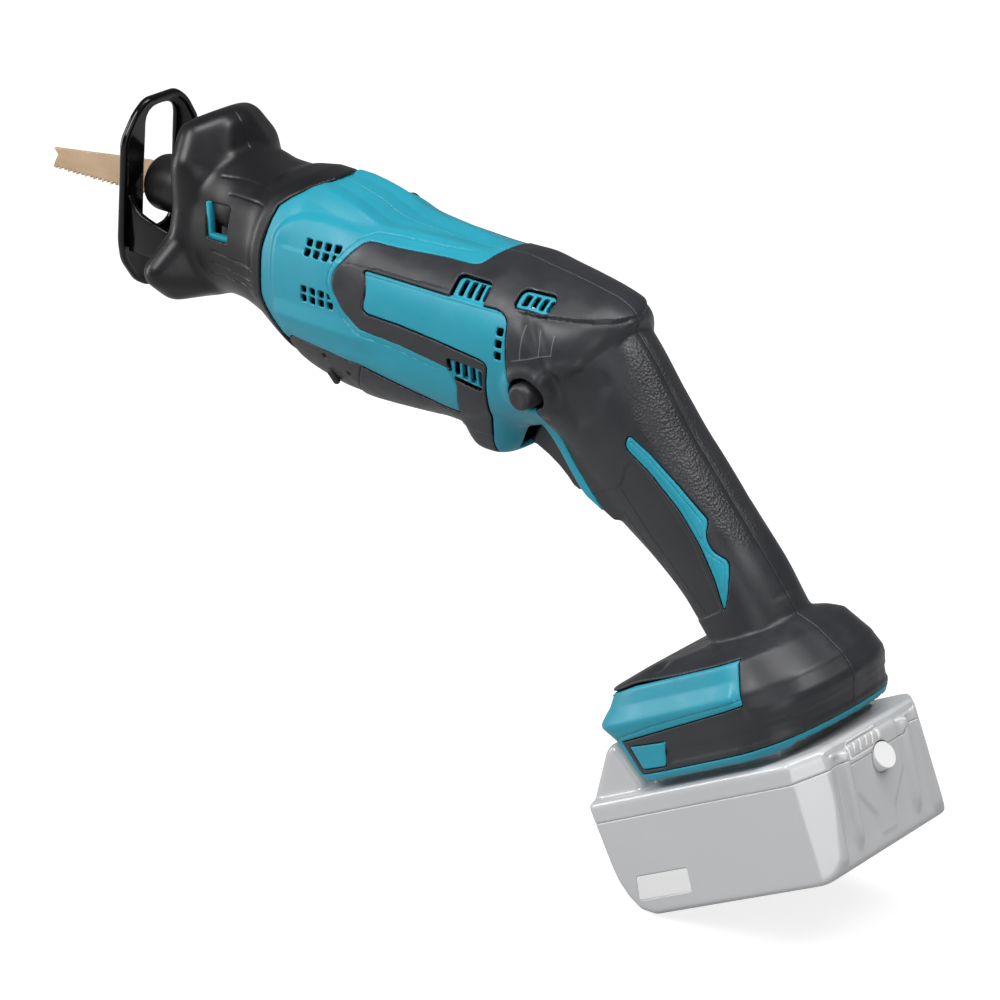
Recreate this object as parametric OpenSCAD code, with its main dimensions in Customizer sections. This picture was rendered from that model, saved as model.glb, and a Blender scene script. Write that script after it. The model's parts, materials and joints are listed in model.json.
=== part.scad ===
/* [Saw] */
// Length of blade that stands out of its clamp
blade_reach = 59; // [45:1:90]
// Thickness of the blade
blade_t = 1.2; // [0.9:0.1:1.3]
// Tooth pitch of the blade
tooth_pitch = 2.5; // [1.8:0.1:4]
// Full stroke of the plunger
stroke = 13; // [10:1:13]
// Height of the shoe loop
shoe_h = 83; // [76:1:88]

/* [Body] */
// Wall of the housing shells
wall = 2.6; // [2.4:0.1:3]
// Depth of the rubber skin over the housing
skin = 1.5; // [1.2:0.1:1.8]
// Gap between pieces that move past each other
gap = 0.35; // [0.3:0.05:0.5]

/* [Pack] */
// Height of the pack below the tool's foot
pack_h = 46.5; // [45:0.5:47]
// Width of the pack
pack_w = 75; // [73:1:76]
// Diameter of one cell
cell_d = 18; // [17:0.1:18.2]

/* [Hidden] */

TEAL = [0.16, 0.58, 0.69];
RUBBER = [0.17, 0.17, 0.18];
BLACK = [0.09, 0.09, 0.10];
STEEL = [0.72, 0.73, 0.75];
PACK = [0.74, 0.74, 0.75];

// The blade's axis is X at z = 0, and the pack's own frame is tilted under it
pack_x = 254;
pack_z = -218;
pack_tilt = 27;
rim_w = 50;        // underside of the foot, in the pack's frame

motor_z = -20;     // axis of the motor
motor_r = 19;
gear_x = 74;       // upright axis of the crank gear
gear_r = 16.5;
throw = stroke / 2;
rod_r = 6;
sleeve_r = 11.4;
axis_z = 3;        // axis of the plunger
bush_r = 8.3;
tongue_w = 15;
lock_x = 196.8;
lock_z = -25.4;
lock_r = 5.1;
key_z = -46;

// ---- sections: [x, z, angle, half width, top, bottom, widest, power, share of the offset along the axis] ----
function curve(w, h, p, a) = [w * sign(cos(a)) * pow(abs(cos(a)), 2 / p), h * sign(sin(a)) * pow(abs(sin(a)), 2 / p)];
function ring(s, o, n) = [for (i = [0 : n - 1]) let (a = 360 * i / n, up = a <= 180,
    c = curve(s[3] - o, up ? s[4] - s[6] - o : s[6] - s[5] - o, s[7], a)) [c[0], c[1] + s[6]]];

function place(s, o, c) = [s[0] - o * s[8] * cos(s[2]) + c[1] * sin(s[2]), c[0], s[1] + o * s[8] * sin(s[2]) + c[1] * cos(s[2])];

// One closed skin through all sections
module loft(stations, o, n = 28) {
  k = len(stations);
  polyhedron(points = [for (s = stations) each [for (c = ring(s, o, n)) place(s, o, c)]],
    faces = concat([[for (i = [0 : n - 1]) i]], [[for (i = [n - 1 : -1 : 0]) (k - 1) * n + i]],
      [for (j = [0 : k - 2], i = [0 : n - 1]) let (a = j * n + i, d = j * n + (i + 1) % n) each [[a, a + n, d + n], [a, d + n, d]]]));
}

BARREL = [
  [56, 0, 0, 28, 24, -37, -6, 2.3, 0], [60, 0, 0, 29, 25.5, -39, -8, 2.3, 0], [70, 0, 0, 30.5, 26.5, -46, -10, 2.3, 0],
  [83, 0, 0, 31, 26.8, -52, -13, 2.3, 0], [100, 0, 0, 31.5, 23.5, -54.5, -15, 2.4, 0],
  [115, 0, 0, 31.5, 18, -54.5, -18, 2.5, 0], [136, 0, 0, 31.5, 16, -54, -18, 2.5, 0],
  [160, 0, 0, 31, 15, -52.5, -18, 2.4, 0], [175, 0, 0, 30.5, 15.5, -50, -17, 2.3, 0],
  [190, 0, 0, 29.5, 13.8, -46, -16, 2.2, 0.2], [203, 0, 3, 27.5, 11.8, -42, -15, 2.1, 0.4],
  [214, 0, 8, 23.5, 9.6, -36, -13, 2.1, 0.7], [221, -2, 14, 18, 8.6, -28, -10, 2.2, 0.9],
  [225, -4, 20, 11, 6.6, -20, -8, 2.2, 1]];
HANDLE = [
  [203, -26, 30, 24, 34, -22, 0, 2.1, 0], [214, -32, 38, 21, 29.5, -24, 0, 2.1, 0],
  [226, -41, 44, 18.5, 24.3, -28.5, 0, 2.3, 0], [240, -54, 48, 17.6, 20.6, -27, 0, 2.6, 0],
  [256, -72, 49, 17.6, 20.2, -19.5, 0, 2.7, 0], [270, -88, 50, 18.2, 20.2, -15, 0, 2.7, 0],
  [281, -101, 52, 18.8, 19.4, -16, 0, 2.4, 0], [288, -110, 56, 20.5, 18, -22, 0, 2.3, 0]];
// Foot in the pack's frame: [height, front, rear, half width, power of the rear]
FOOT = [[50, 26.5, 104, 38.4, 2.5], [53.5, 25, 107.5, 39.2, 2.5], [65, 20, 112, 39.2, 2.6], [73.5, 15.5, 110.5, 38.6, 2.6],
  [84.5, 24, 103.5, 33.5, 2.5], [87.6, 38, 100.5, 28, 2.4], [90.2, 64, 98, 20, 2.3]];
foot_bend = 76;
FOOT_PARTS = [[0, 3], [3, 4], [4, 6]];   // stations that one hull of the foot spans

module plan(f, o, n) {
  translate([foot_bend, 0, f[0] - (f[0] > 80 ? o : 0)]) linear_extrude(0.2)
    polygon([for (i = [0 : n - 1]) let (a = 360 * i / n)
      cos(a) > 0 ? curve(f[2] - foot_bend - o, f[3] - o, f[4], a) : curve(foot_bend - f[1] - o, f[3] - o, 9, a)]);
}

module on_axis() { translate([0, 0, axis_z]) children(); }
module in_pack() { translate([pack_x, 0, pack_z]) rotate([0, -pack_tilt, 0]) children(); }

module foot(o, n = 32) {
  in_pack() for (p = FOOT_PARTS) hull() for (i = [p[0] : p[1]]) plan(FOOT[i], o, n);
}

// Guard in front of the trigger: [height, front, rear, half width]
NOSE = [[-36, 152, 191, 24.5], [-48, 152.5, 182, 21], [-55, 154, 179, 18], [-59, 157, 176, 15.5], [-61, 162, 172, 10]];
module nose(o, n = 24) {
  hull() for (q = NOSE) translate([(q[1] + q[2]) / 2, 0, q[0] + (q[0] < -60 ? o : 0)]) linear_extrude(0.2)
    polygon([for (i = [0 : n - 1]) curve((q[2] - q[1]) / 2 - o, q[3] - o, 3, i * 360 / n)]);
}

// Walls on both sides of the trigger
THROAT = [[181, -30], [183.2, -43], [187.1, -41.6], [190, -41.6], [193.4, -43.1], [197.2, -46.5], [201.4, -51.4], [206.1, -57.7],
  [210.3, -62.9], [213.2, -65.6], [219.5, -68.6], [227, -72.4], [238, -66], [226, -38], [206, -20]];
module throat(o) { side_cut(THROAT, o - 15.6, 15.6 - o); }

module body(o, n = 28) {
  loft(BARREL, o, n);
  loft(HANDLE, o, n);
  foot(o, n + 4);
  nose(o, n - 4);
}

module side_cut(pts, y0, y1) {
  translate([0, y1, 0]) rotate([90, 0, 0]) linear_extrude(y1 - y0) polygon(pts);
}

// Side view of the rubber skin: the frame round the panel, its leg, the rear and the handle
FRAME = [[165.5, 60], [164.5, 13.5], [160, 12.6], [128, 12.6], [113.5, 13], [108.6, 9], [104.6, 1.5], [104.2, -4],
  [110.3, -12.2], [119, -17.2], [138.3, -19.2], [162, -22.9], [165.3, -29.5], [163, -37], [160.5, -45], [157, -55],
  [157, -75], [171, -75], [171.5, -55], [175, -43], [177.5, -33], [180.2, -17.2], [177, -16], [158, -13.5], [138, -11.4],
  [121, -10.6], [119.6, -8], [120.8, -4.8], [120, 0.6], [117.5, 4.6], [135, 4.1], [159, 3.3], [182.2, 3], [186.8, 0.6],
  [187.9, -8], [189, -19], [191, -22.5], [197, -27], [199.5, -33], [197.6, -38.4], [203, -45], [209.4, -54], [216, -61.6],
  [221.4, -68], [222, -80], [230, -94], [252, -113], [293.3, -94.7], [303.6, -115], [349, -96], [330, -20], [300, 60]];
BELLY = [[99.4, -70], [99.4, -33.2], [115.6, -34.6], [135, -37.4], [148, -40.4], [160, -42.6], [157, -55], [157, -70]];
// Side view of the skin on the foot, in the pack's frame
WRAP = [[27, 66.2], [28.7, 64.3], [48.2, 63.2], [44.4, 54.6], [120, 54.6], [120, 110], [91, 110], [91, 69.4]];
FLAP = [[10, 82.5], [40, 85.2], [89, 85.2], [91, 80], [91, 120], [10, 120]];

module skin_zone(y0, y1) {
  side_cut(FRAME, y0, y1);
  side_cut(BELLY, y0, y1);
  in_pack() { side_cut(WRAP, y0, y1); side_cut(FLAP, y0, y1); }
}

module vents() {
  for (r = [0, 1], i = [0 : 3]) {
    translate([88.2 + 4.6 * i, -36, 4.2 + 3.5 * r + 0.1 * i]) cube([3, 20, 2.6]);
    translate([88.4 + 4.6 * i, -36, -13.2 + 3.5 * r + 0.15 * i]) cube([3, 20, 2.6]);
  }
  for (i = [0 : 2]) translate([183.2, -36, -14.2 + 4.4 * i]) cube([3.2, 20, 3]);
  for (i = [0 : 4]) translate([159.8 + 3.2 * i, -34, 3.9]) cube([2, 18, 5.2]);
  for (i = [0 : 4]) translate([161.8 + 3 * i, -36, -24.2 - 0.8 * i]) cube([1.9, 18, 5.4 + 0.6 * i]);
  for (i = [0 : 3]) translate([187.2 + 3.7 * i, -34, 5.4]) cube([2.4, 20, 3.8]);
}

module motor_room() {
  translate([100, 0, motor_z]) rotate([0, 90, 0]) cylinder(h = 80, r = motor_r + 1.2, $fn = 48);
}

// Space that the trigger, the switch and the lock button need inside the shells
module trigger_room() {
  side_cut([[180, -30], [196, -30], [214, -36], [226, -58], [212, -74], [176, -74], [177, -50]], -9.6, 9.6);
}

module rail_room() {
  in_pack() {
    translate([-20, -30.8, rim_w + 3.6]) cube([112, 61.6, 10.2]);
    translate([-20, -27.4, rim_w - 4]) cube([112, 54.8, 8]);
  }
}

module cavity() {
  difference() {
    body(skin + wall, 16);
    translate([40, -50, -90]) cube([16 + wall, 100, 140]);
    in_pack() translate([-10, -50, 20]) cube([140, 100, 46.5]);
  }
}

module shell(side) {
  difference() {
    intersection() {
      union() {
        body(skin);
        throat(skin);
        difference() { union() { body(0); throat(0); } skin_zone(-60, 60); boot_zone(); }
      }
      translate([0, side < 0 ? -60 : 0, -260]) cube([400, 60, 340]);
    }
    cavity();
    motor_room();
    trigger_room();
    rail_room();
    in_pack() translate([61.6, -15.4, 60]) cube([34.8, 30.8, 11]);
    scale([1, -side, 1]) vents();
    translate([lock_x, 0, lock_z]) rotate([90, 0, 0]) cylinder(h = 90, r = lock_r + 0.35, center = true, $fn = 32);
    translate([52, 0, axis_z]) rotate([0, 90, 0]) cylinder(h = 20, r = 18.6, $fn = 48);
    key_room();
    screw_points() cylinder(h = 60, r = 1.6, $fn = 16);
    if (side > 0) screw_points() translate([0, 0, -20]) cylinder(h = 22.4, r = 3.4, $fn = 20);
    scale([1, side, 1]) stripe_solid(-0.6);
  }
}

module skin_half(side) {
  difference() {
    intersection() {
      difference() { union() { body(0); throat(0); } body(skin); throat(skin); translate([-0.3, 0, -0.3]) throat(skin); }
      skin_zone(-60, 60);
      translate([0, side < 0 ? -60 : 0, -260]) cube([400, 60, 340]);
    }
    trigger_room();
    rail_room();
    scale([1, -side, 1]) vents();
    translate([lock_x, 0, lock_z]) rotate([90, 0, 0]) cylinder(h = 90, r = 7.4, center = true, $fn = 32);
    key_room();
    if (side > 0) screw_points() translate([0, 0, -20]) cylinder(h = 22.4, r = 3.4, $fn = 20);
    scale([1, side, 1]) stripe_solid(-0.6);
  }
}

module housing_left() color(TEAL) shell(-1);
module housing_right() color(TEAL) shell(1);
module grip_left() color(RUBBER) skin_half(-1);
module grip_right() color(RUBBER) skin_half(1);

// Bright inlay along the side of the handle
STRIPE = [[235.4, -34.4], [244.2, -40], [256.2, -49.5], [269.2, -61.1], [268.8, -64], [270.5, -68], [273.4, -70.9], [278.9, -73.2],
  [280.4, -78], [281.2, -85], [280.6, -91.5], [278, -86], [275.4, -80.4], [267.8, -69.2], [258.4, -58.2], [245.3, -47], [234.4, -39.7]];
module stripe_solid(o) {
  intersection() {
    side_cut(STRIPE, 0, 40);
    difference() { loft(HANDLE, o); loft(HANDLE, skin + 0.7); }
  }
}
module stripe_left() color(TEAL) mirror([0, 1, 0]) stripe_solid(-0.15);
module stripe_right() color(TEAL) stripe_solid(-0.15);

// ---- front boot ----
NECK = [[15, 0, 0, 25, 27, -33, -3, 2.6, 0], [22, 0, 0, 26.2, 28, -33, -3, 2.5, 0], [34, 0, 0, 27, 26.5, -31, -4, 2.4, 0],
  [44, 0, 0, 27.4, 24.4, -32, -5, 2.3, 0], [56, 0, 0, 28, 24, -37, -6, 2.3, 0], [60, 0, 0, 29, 25.5, -39, -8, 2.3, 0],
  [70, 0, 0, 30.5, 26.5, -46, -10, 2.3, 0], [83, 0, 0, 31, 26.8, -52, -13, 2.3, 0],
  [83.5, 0, 0, 31.02, 26.7, -52.1, -13.06, 2.3, 0]];
BOOT_EDGE = [[76, -60], [70, -32], [64.9, -23], [63.3, -17.9], [64.1, -9.3], [64.7, 0.7], [66.2, 7.8], [68.2, 17.5], [71.8, 20.7],
  [76.9, 24.2], [83.1, 27], [83.1, 60]];
module ball(x, y, z, r) { translate([x, y, z]) sphere(r, $fn = 22); }
module guard(o) {
  r = 8 - o;
  hull() for (s = [-1, 1]) { ball(17, s * 13, 31, r); ball(21.5, s * 4, 33.2, r); ball(18.6, s * 18.8, 22.5, r); ball(26.5, s * 11, 18, r); ball(19, s * 19, 12, r); }
  for (s = [-1, 1]) {
    hull() { ball(18.6, s * 18.8, 22.5, r); ball(19.2, s * 19.2, 6, r); ball(25, s * 13.5, 16, r); ball(27, s * 16, 0, r); }
    hull() { ball(19.2, s * 19.2, 6, r); ball(17.5, s * 21, -8, r); ball(27, s * 16, 0, r); ball(25, s * 16, -18, r); }
    hull() { ball(17.5, s * 21, -8, r); ball(12, s * 31.8, -19.5, r * 0.85); ball(12.5, s * 24, -25, r); ball(24, s * 16, -22, r); ball(14, s * 8, -27.5, r); }
  }
  hull() for (s = [-1, 1]) { ball(14, s * 8, -27.5, r); ball(24, s * 13, -23.5, r); }
}
module boot_outer() {
  guard(0);
  loft(NECK, 0);
}
module boot_inner() {
  loft([for (s = NECK) let (t = s[0] < 50 ? 3.4 : skin)
    [s[0] - (s[0] < 16 ? 18 : 0) + (s[0] > 83.2 ? 1 : 0), s[1], s[2], s[3] - t, s[4] - t, s[5] + t, s[6], s[7], 0]], 0);
}
module boot_zone() { side_cut(concat(BOOT_EDGE, [[20, 60], [20, -60]]), -60, 60); }
module boot_window() { translate([33.4, -40, -1.6]) cube([11.4, 80, 13.6]); }
module front_boot() {
  color(RUBBER) difference() {
    boot_outer();
    boot_inner();
    boot_window();
    side_cut(concat(BOOT_EDGE, [[120, 60], [120, -60]]), -60, 60);
    key_room();
    key_slot(2.6);
  }
}

// ---- gear case, aluminium ----
CASE = [[-22.6, -15], [-22.6, -1], [-15.6, 12], [15.6, 12], [22.6, -1], [22.6, -15], [15.5, -29], [9, -34.2], [-9, -34.2], [-15.5, -29]];
module gear_case() {
  color([0.66, 0.67, 0.69]) difference() {
    union() {
      on_axis() {
        translate([20, 0, 0]) rotate([0, 90, 0]) cylinder(h = 38, r = 11, $fn = 48);
        translate([50, 0, 0]) rotate([0, 90, 0]) cylinder(h = 9, r = 18, $fn = 48);
        translate([59, 0, 0]) rotate([90, 0, 90]) linear_extrude(33) polygon(CASE);
      }
      translate([26, -11, -25.4]) cube([29.8, 22, 22]);
    }
    on_axis() {
      translate([19, 0, 0]) rotate([0, 90, 0]) cylinder(h = 32, r = bush_r, $fn = 48);
      translate([gear_x, 0, -17]) cylinder(h = 12, r = gear_r + 1, $fn = 48);
      translate([48.6, -20, -7]) cube([50, 40, 13.5]);
      translate([gear_x, 0, -45]) cylinder(h = 30, r = 9.5, $fn = 40);
      translate([59, -30, 8.5]) cube([60, 60, 20]);
    }
    translate([78, 0, motor_z]) rotate([0, 90, 0]) cylinder(h = 30, r = 8.2, $fn = 36);
    translate([20, -tongue_w / 2 - gap, -23]) cube([35, tongue_w + 2 * gap, 4.4]);
    translate([20, -4.2, -30]) cube([40, 8.4, 8]);
  }
}
module gear_cover() {
  color([0.60, 0.61, 0.63]) on_axis() difference() {
    translate([59.2, -15.4, 8.5]) cube([32.6, 30.8, 4]);
    for (x = [62.5, 88.5], y = [-12.5, 12.5]) translate([x, y, 8]) cylinder(h = 6, r = 1.7, $fn = 20);
  }
}
module tube_x(x, l, ro, ri, z = 0) {
  translate([x, 0, z]) rotate([0, 90, 0]) difference() {
    cylinder(h = l, r = ro, $fn = 48);
    translate([0, 0, -1]) cylinder(h = l + 2, r = ri, $fn = 48);
  }
}
module front_bush() color([0.55, 0.42, 0.25]) tube_x(24.2, 10, bush_r, rod_r + 0.04, axis_z);
module rear_bush() color([0.55, 0.42, 0.25]) tube_x(38, 11, bush_r, rod_r + 0.04, axis_z);
module dust_seal() color([0.3, 0.28, 0.26]) tube_x(20.4, 3.4, bush_r, rod_r + 0.1, axis_z);

// ---- crank gear ----
module ring_z(z, l, ro, ri) {
  translate([gear_x, 0, z + axis_z]) difference() {
    cylinder(h = l, r = ro, $fn = 48);
    translate([0, 0, -1]) cylinder(h = l + 2, r = ri, $fn = 48);
  }
}
module gear_bearing_low() color(STEEL) ring_z(-34, 5.5, 9.5, 4.02);
module gear_bearing_top() color(STEEL) ring_z(-23, 5.5, 9.5, 4.02);
module crank_gear() {
  color(STEEL) on_axis() {
    difference() {
      translate([gear_x, 0, -15.6]) cylinder(h = 7.6, r = gear_r, $fn = 60);
      translate([gear_x, 0, -16]) cylinder(h = 12, r = 4, $fn = 32);
      for (i = [0 : 34]) translate([gear_x, 0, -15.7]) rotate([0, 0, i * 360 / 35])
        translate([gear_r - 4, -0.5, 0]) cube([5, 1, 1.6]);
    }
    translate([gear_x - throw, 0, -8.1]) cylinder(h = 1.7, r = 4, $fn = 32);
  }
}
module gear_shaft() color([0.62, 0.63, 0.65]) translate([gear_x, 0, axis_z - 34.2]) cylinder(h = 26.2, r = 4, $fn = 32);

// ---- motor ----
module motor_can() {
  color([0.45, 0.46, 0.48]) union() {
    tube_x(102, 46, motor_r, motor_r - 1.4, motor_z);
    tube_x(102, 1.6, motor_r - 1.2, 6.6, motor_z);
  }
}
module motor_magnets() {
  color([0.25, 0.25, 0.27]) difference() {
    tube_x(108, 32, motor_r - 1.4, motor_r - 4.6, motor_z);
    for (s = [-1, 1]) translate([100, -3, motor_z + s * 17 - 3]) cube([50, 6, 6]);
  }
}
module brush_holder() {
  color([0.2, 0.2, 0.21]) difference() {
    union() {
      tube_x(148.2, 12, motor_r, motor_r - 2.4, motor_z);
      tube_x(158, 3, motor_r - 2.2, 5.5, motor_z);
      for (s = [-1, 1]) translate([149.5, s < 0 ? -17.5 : 9.5, motor_z - 4]) cube([8.9, 8, 8]);
    }
    for (s = [-1, 1]) translate([151, s < 0 ? -18 : 5, motor_z - 2.5]) cube([6, 13, 5]);
  }
}
module brush(s) color([0.22, 0.2, 0.19]) translate([151, s < 0 ? -16.5 : 7, motor_z - 2.5]) cube([6, 9.5, 5]);
module brush_left() brush(-1);
module brush_right() brush(1);
module motor_bearing_front() color(STEEL) tube_x(97.4, 4.5, 8, 2.53, motor_z);
module motor_bearing_rear() color(STEEL) tube_x(158, 4.4, 5.5, 2.53, motor_z);
module motor_shaft() color(STEEL) translate([86, 0, motor_z]) rotate([0, 90, 0]) cylinder(h = 77, r = 2.5, $fn = 32);
module armature() {
  color([0.5, 0.34, 0.2]) difference() {
    tube_x(110, 28, motor_r - 5.1, 2.5, motor_z);
    for (i = [0 : 4]) translate([108, 0, motor_z]) rotate([i * 72, 0, 0]) translate([0, -0.8, 10]) cube([32, 1.6, 8]);
  }
}
module commutator() color([0.75, 0.48, 0.28]) tube_x(148, 10, 6.7, 2.5, motor_z);
module fan() {
  color([0.15, 0.15, 0.16]) {
    tube_x(140.5, 5, 5, 2.5, motor_z);
    tube_x(140.5, 1, motor_r - 3, 4.9, motor_z);
    for (i = [0 : 10]) translate([141.4, 0, motor_z]) rotate([i * 360 / 11, 0, 0])
      translate([0, -0.4, 4.8]) cube([4, 0.8, motor_r - 8]);
  }
}
module pinion() {
  color(STEEL) difference() {
    translate([86.4, 0, motor_z]) rotate([0, 90, 0]) cylinder(h = 9, r1 = 3.6, r2 = 6.2, $fn = 28);
    translate([86, 0, motor_z]) rotate([0, 90, 0]) cylinder(h = 12, r = 2.5, $fn = 28);
    for (i = [0 : 6]) translate([86, 0, motor_z]) rotate([i * 360 / 7, 0, 0]) translate([-1, -0.6, 3.3]) cube([12, 1.2, 5]);
  }
}

// ---- plunger, clamp and blade ----
yoke_x = gear_x - throw;
module plunger() {
  color(STEEL) on_axis() {
    translate([-4, 0, 0]) rotate([0, 90, 0]) cylinder(h = yoke_x - 10, r = rod_r, $fn = 48);
    difference() {
      translate([yoke_x - 14, -17, -4.5]) cube([28, 34, 10]);
      translate([yoke_x - 4.4, -12, -5]) cube([8.8, 24, 11]);
    }
  }
}
module blade_holder() {
  color([0.5, 0.5, 0.52]) on_axis() difference() {
    translate([-18.3, 0, 0]) rotate([0, 90, 0]) cylinder(h = 17.3, r = 9.6, $fn = 48);
    translate([-22, -0.65, -6]) cube([16, 1.3, 18]);
    translate([-4, 0, 0]) rotate([0, 90, 0]) cylinder(h = 4, r = rod_r, $fn = 48);
    translate([-12, -10, 0]) rotate([-90, 0, 0]) cylinder(h = 20, r = 2.05, $fn = 28);
  }
}
module clamp_pin() {
  color(STEEL) on_axis() for (s = [-1, 1]) translate([-12, s < 0 ? -9.3 : 0.7, 0]) rotate([-90, 0, 0]) cylinder(h = 8.6, r = 2, $fn = 28);
}
module clamp_spring() {
  color([0.6, 0.6, 0.62]) on_axis() for (i = [0 : 2]) translate([1.2 + 2.2 * i, 0, 0]) rotate([0, 90, 0])
    rotate_extrude($fn = 40) translate([7.2, 0]) circle(0.7, $fn = 14);
}
module clamp_sleeve() {
  color([0.10, 0.10, 0.11]) on_axis() difference() {
    union() {
      translate([-16, 0, 0]) rotate([0, 90, 0]) cylinder(h = 22, r = sleeve_r, $fn = 56);
      translate([-19, 0, 0]) rotate([0, 90, 0]) cylinder(h = 3.01, r1 = sleeve_r - 3, r2 = sleeve_r, $fn = 56);
    }
    translate([-20, 0, 0]) rotate([0, 90, 0]) cylinder(h = 27, r = 9.66, $fn = 56);
    for (i = [0 : 11]) rotate([i * 30, 0, 0]) translate([-10, 0, sleeve_r + 1]) rotate([0, 90, 0]) cylinder(h = 18, r = 1.8, $fn = 20);
  }
}
module blade() {
  tip = -22 - blade_reach;
  teeth = floor((blade_reach - 3) / tooth_pitch);
  edge = [for (i = [0 : teeth - 1]) each [[tip + 1 + tooth_pitch * i, -4.9], [tip + 1 + tooth_pitch * (i + 0.78), -3.6]]];
  color([0.76, 0.64, 0.50]) translate([0, blade_t / 2, 0]) rotate([90, 0, 0]) linear_extrude(blade_t)
    polygon(concat([[tip, -4.2]], edge, [[-21.6, -5.2], [-20.4, -2.6], [-7, -2.6], [-7, 8.6], [-16, 8.6], [-19, 10.4],
      [-24, 10.4], [tip + 1, 4], [tip + 3.4, 1.2]]));
}

// ---- shoe ----
shoe_x = -22.2;
module shoe_lean() { translate([shoe_x, 0, 0]) rotate([0, atan(0.12), 0]) children(); }
module loop_shape(o) {
  h = shoe_h / 2;
  half = [[8.4 - 0.6 * o, h - 1.2 - o], [14.4 - o, h - 6.2 - 0.7 * o], [20.4 - o, h - 16 - 0.4 * o], [20.4 - o, -h + 23], [18.5 - o, -h + 14],
    [11.5 - o, -h + 4 + o], [5, -h + o]];
  polygon(concat(half, [for (i = [len(half) - 1 : -1 : 0]) [-half[i][0], half[i][1]]]));
}
module shoe_plate() {
  slot_w = 8.3;
  color(BLACK) shoe_lean() rotate([90, 0, 90]) difference() {
    union() {
      linear_extrude(2.4) loop_shape(0);
      linear_extrude(3.2) difference() { loop_shape(0); loop_shape(2.2); }
    }
    translate([0, 0, -1]) linear_extrude(8) {
      translate([-slot_w, -11.5]) square([2 * slot_w, 42.5]);
      for (s = [-1, 1]) { translate([s * (slot_w - 5), 31]) circle(5, $fn = 28); translate([s * (slot_w - 5), -11.5]) circle(5, $fn = 28); }
      translate([-3.3, -16.5]) square([6.6, 52.5]);
    }
  }
}
module shoe_bracket() {
  color(BLACK) union() {
    difference() {
      union() {
        side_cut([[-22.6, -21], [-20, -17.6], [-6, -19], [-6, -22.6], [-20.4, -22.6]], -15, 15);
        translate([-7, -tongue_w / 2, -22.6]) cube([51, tongue_w, 3.6]);
      }
      for (x = [30, 40]) translate([x, 0, -30]) cylinder(h = 16, r = 2.1, $fn = 24);
    }
    for (s = [-1, 1]) side_cut([[-20.2, 1.5], [-18.4, 1], [-16.4, -3.6], [-10, -6.9], [1.6, -10], [1.6, -21.4], [-5, -22.6], [-21.4, -22.6]], s < 0 ? -17.2 : 15, s < 0 ? -15 : 17.2);
  }
}
module shoe_bolts() {
  color(STEEL) for (x = [30, 40]) translate([x, 0, -26.4]) {
    cylinder(h = 3, r = 3.6, $fn = 24);
    cylinder(h = 7.2, r = 2, $fn = 24);
  }
}

// ---- trigger, lock button, switch ----
TRIG = [[182, -54.6], [186.5, -45], [193.5, -37], [198, -38], [202, -46], [210.5, -60], [208.5, -66], [204.6, -67.6], [202, -66.6], [197, -61.9], [187.4, -56.4], [184.5, -54.6]];
module trigger() {
  color([0.12, 0.12, 0.13]) union() {
    side_cut(TRIG, -9, 9);
    translate([201, 0, -50]) rotate([0, 27.4, 0]) translate([-4, -4, 0]) cube([8, 8, 4]);
  }
}
module lock_button() {
  color([0.11, 0.11, 0.12]) translate([lock_x, 0, lock_z]) union() {
    translate([0, -32.6, 0]) rotate([-90, 0, 0]) cylinder(h = 65.2, r = lock_r, $fn = 40);
    for (s = [-1, 1]) translate([0, s * 32.6, 0]) rotate([-s * 90, 0, 0]) cylinder(h = 0.9, r1 = lock_r, r2 = lock_r - 0.9, $fn = 40);
  }
}
module switch_unit() {
  color([0.13, 0.13, 0.14]) difference() {
    translate([211, 0, -33]) rotate([0, 45, 0]) translate([2, -9, -9]) cube([34, 18, 19]);
    trigger_room();
  }
}
module terminal_block() {
  color([0.14, 0.14, 0.15]) in_pack() {
    translate([62, -15, 64.2]) cube([34, 30, 6]);
    for (y = [-9.5, 8.7]) translate([66, y, 55.4]) cube([26, 0.8, 8.9]);
  }
}

// ---- hex key and its holder ----
KEYH = [[99, -60], [99, -33.4], [84, -32.2], [77, -34], [70.5, -40], [67, -46], [67, -60]];
module key_holder() {
  color([0.13, 0.13, 0.14]) difference() {
    intersection() {
      loft(BARREL, 0);
      side_cut(KEYH, -60, 60);
    }
    key_slot(2.25);
    for (q = [[89, -39.5], [96, -42]]) translate([q[0], -32, q[1]]) rotate([-90, 0, 0]) cylinder(h = 6, r = 1.3, $fn = 20);
  }
}
module key_slot(r) {
  translate([60, 0, key_z]) rotate([0, 90, 0]) cylinder(h = 36.5, r = r, $fn = 24);
  translate([60, -r, key_z - 20]) cube([24.4, 2 * r, 20]);
}
module key_room() { side_cut([for (q = KEYH) [q[0] > 98 ? 99.4 : q[0] - 0.35, q[1] + 0.35]], -60, 60); }
module hex_key() {
  color([0.25, 0.25, 0.27]) union() {
    translate([80.6, 0, key_z]) rotate([0, 90, 0]) cylinder(h = 15.4, r = 2, $fn = 6);
    translate([82.4, 0, key_z - 11]) cylinder(h = 11, r = 2, $fn = 6);
  }
}

// Screws that close the housing: [x, z, y of the head's top]
SCREWS = [[97, 12, 21], [95.5, -34, 24.4], [122, 4, 23.5], [148, -44, 20.5], [226, -26, 13.5], [262, -80, 13.5]];
module screw_points() {
  for (q = SCREWS) translate([q[0], q[2], q[1]]) rotate([90, 0, 0]) children();
}
module housing_screws() {
  color(STEEL) screw_points() {
    cylinder(h = 22, r = 1.5, $fn = 16);
    cylinder(h = 2.4, r = 3.1, $fn = 20);
  }
}

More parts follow.
